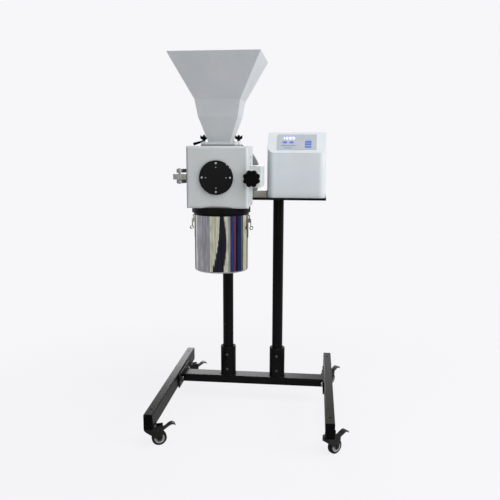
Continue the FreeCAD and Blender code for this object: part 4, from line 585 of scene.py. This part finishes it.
def room_finish(name, colour):
    """One of the room's colours, blotched as cloth and walls are."""
    material, tree = blank("room_" + name)
    place = add(tree, "ShaderNodeTexCoord").outputs["Object"]
    blotch = add(tree, "ShaderNodeTexNoise", {"Scale": 1 / (BLOTCH_WIDTH * MM), "Detail": 3.0},
                 {"Vector": place})
    levels = {"From Min": GRAIN_LOW, "From Max": GRAIN_HIGH, "To Min": BLOTCH_DIM, "To Max": BLOTCH_BRIGHT}
    level = add(tree, "ShaderNodeMapRange", levels, {"Value": blotch.outputs["Fac"]})
    light = add(tree, "ShaderNodeEmission", {"Color": linear(colour)}, {"Strength": level.outputs["Result"]})
    add(tree, "ShaderNodeOutputMaterial", {}, {"Surface": light.outputs["Emission"]})
    return material


def room_band(across, height):
    """Which of the room's shapes stands at a share across the bucket's width and at a height."""
    depth = (ROOM_MIRRORED_TOP - height) / (ROOM_MIRRORED_TOP - ROOM_MIRRORED_LOW)
    depth = min(max(depth, 0.0), 1.0)
    left = WEDGE_LEFT - WEDGE_SPREAD * depth ** WEDGE_CURVE
    right = WEDGE_RIGHT + WEDGE_BULGE * math.sin(math.pi * depth)
    if left < across < right:
        return "wedge"
    return [band for start, band in ROOM_BANDS if across >= start][-1]


def room_about_bucket():
    """The broad dim shapes of a room that only mirrors see. The bucket shows them as upright bands."""
    axis = middle("bucket")
    camera = bpy.context.scene.camera.matrix_world.translation
    towards = math.atan2(camera.y - axis.y, camera.x - axis.x)
    bpy.ops.object.select_all(action="DESELECT")
    bpy.ops.mesh.primitive_cylinder_add(vertices=ROOM_SIDES, radius=ROOM_RADIUS, depth=ROOM_HIGH - ROOM_LOW,
                                        end_fill_type="NOTHING",
                                        location=(axis.x, axis.y, (ROOM_LOW + ROOM_HIGH) / 2))
    bpy.ops.object.transform_apply(location=True, rotation=True, scale=True)
    bpy.ops.object.mode_set(mode="EDIT")
    bpy.ops.mesh.select_all(action="SELECT")
    bpy.ops.mesh.subdivide(number_cuts=ROOM_CUTS, quadcorner="INNERVERT")
    bpy.ops.object.mode_set(mode="OBJECT")
    room = bpy.context.object
    room.name = "room_about_bucket"
    order = list(ROOM_COLOURS)
    for name, colour in ROOM_COLOURS.items():
        room.data.materials.append(room_finish(name, colour))
    for face in room.data.polygons:
        run = face.center - axis
        turn = (math.atan2(run.y, run.x) - towards + math.pi) % (2 * math.pi) - math.pi
        face.material_index = order.index(room_band(math.sin(turn / 2), face.center.z))
    for kind in ("camera", "diffuse", "transmission", "shadow", "volume_scatter"):
        setattr(room, "visible_" + kind, False)


def rays_that_see(tree):
    """One for camera, glossy and transmission rays, and nought for the rays that only carry light."""
    path = add(tree, "ShaderNodeLightPath")
    first = add(tree, "ShaderNodeMath", operation="MAXIMUM")
    tree.links.new(path.outputs["Is Camera Ray"], first.inputs[0])
    tree.links.new(path.outputs["Is Glossy Ray"], first.inputs[1])
    second = add(tree, "ShaderNodeMath", operation="MAXIMUM")
    tree.links.new(first.outputs["Value"], second.inputs[0])
    tree.links.new(path.outputs["Is Transmission Ray"], second.inputs[1])
    return second.outputs["Value"]


def mix(tree, share, first, second):
    """A mix of two shaders."""
    mixed = add(tree, "ShaderNodeMixShader", {}, {"Fac": share})
    tree.links.new(first, mixed.inputs[1])
    tree.links.new(second, mixed.inputs[2])
    return mixed.outputs["Shader"]


def studio_floor():
    """The floor, which shows the backdrop's colour to the camera and keeps a soft shadow."""
    bpy.ops.object.select_all(action="DESELECT")
    bpy.ops.mesh.primitive_plane_add(size=FLOOR_WIDTH, location=(0, 0, 0))
    floor = bpy.context.object
    floor.name = "studio_floor"
    material, tree = blank("studio_paper_pale")
    place = add(tree, "ShaderNodeTexCoord").outputs["Object"]
    reach = add(tree, "ShaderNodeMapping", {"Scale": [1 / SHADOW_REACH] * 3}, {"Vector": place})
    fade = add(tree, "ShaderNodeTexGradient", {}, {"Vector": reach.outputs["Vector"]},
               gradient_type="SPHERICAL")
    share = add(tree, "ShaderNodeMapRange", {"To Max": SHADOW_SHARE, "From Max": SHADOW_FULL_SHARE},
                {"Value": fade.outputs["Fac"]})
    paper = add(tree, "ShaderNodeBsdfDiffuse", {"Color": linear(BACKDROP)})
    path = add(tree, "ShaderNodeLightPath")
    level = add(tree, "ShaderNodeMapRange", {"To Min": FLOOR_IN_MIRRORS, "To Max": 1.0},
                {"Value": path.outputs["Is Camera Ray"]})
    shown = add(tree, "ShaderNodeEmission", {"Color": linear(BACKDROP)},
                {"Strength": level.outputs["Result"]})
    seen = mix(tree, share.outputs["Result"], shown.outputs["Emission"], paper.outputs["BSDF"])
    final = mix(tree, rays_that_see(tree), paper.outputs["BSDF"], seen)
    add(tree, "ShaderNodeOutputMaterial", {}, {"Surface": final})
    floor.data.materials.append(material)


def studio_world():
    """The world shows the backdrop's colour in full and lights the object with a share of it."""
    world = bpy.data.worlds.new("studio")
    world.use_nodes = True
    tree = world.node_tree
    tree.nodes.clear()
    level = add(tree, "ShaderNodeMapRange", {"To Min": AMBIENT, "To Max": 1.0},
                {"Value": rays_that_see(tree)})
    air = add(tree, "ShaderNodeBackground", {"Color": linear(BACKDROP)},
              {"Strength": level.outputs["Result"]})
    add(tree, "ShaderNodeOutputWorld", {}, {"Surface": air.outputs["Background"]})
    bpy.context.scene.world = world


def soft_light(name, place, aim_height, width, power):
    """A square soft box that points at a height over the origin."""
    lamp = bpy.data.lights.new(name, "AREA")
    lamp.shape = "SQUARE"
    lamp.size = width
    lamp.energy = power
    holder = bpy.data.objects.new(name, lamp)
    bpy.context.scene.collection.objects.link(holder)
    holder.location = place
    aim = Vector((0, 0, aim_height)) - Vector(place)
    holder.rotation_euler = aim.to_track_quat("-Z", "Y").to_euler()


def photograph_camera():
    """The camera where the photograph was taken from."""
    data = bpy.data.cameras.new("photograph_camera")
    data.lens = LENS
    data.sensor_width = SENSOR
    data.sensor_fit = "HORIZONTAL"
    camera = bpy.data.objects.new("photograph_camera", data)
    bpy.context.scene.collection.objects.link(camera)
    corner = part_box("housing")[0]
    place = corner + Vector(CAMERA_FROM_HOUSING) * MM
    camera.matrix_world = (Matrix.Translation(place) @ Matrix.Rotation(math.radians(CAMERA_TURN), 4, "Z")
                           @ Matrix.Rotation(math.radians(CAMERA_TILT), 4, "X")
                           @ Matrix.Rotation(math.radians(CAMERA_ROLL), 4, "Z"))
    bpy.context.scene.camera = camera


dress()
second_finishes()
studio_floor()
studio_world()
photograph_camera()
room_about_bucket()
display()
status_lamp()
for row in PRINTED_ROWS:
    ticks(*row)
key_marks()
side_screws()
socket_welds()
for soft_box in SOFT_BOXES:
    soft_light(*soft_box)
bpy.context.scene.view_settings.view_transform = "Standard"
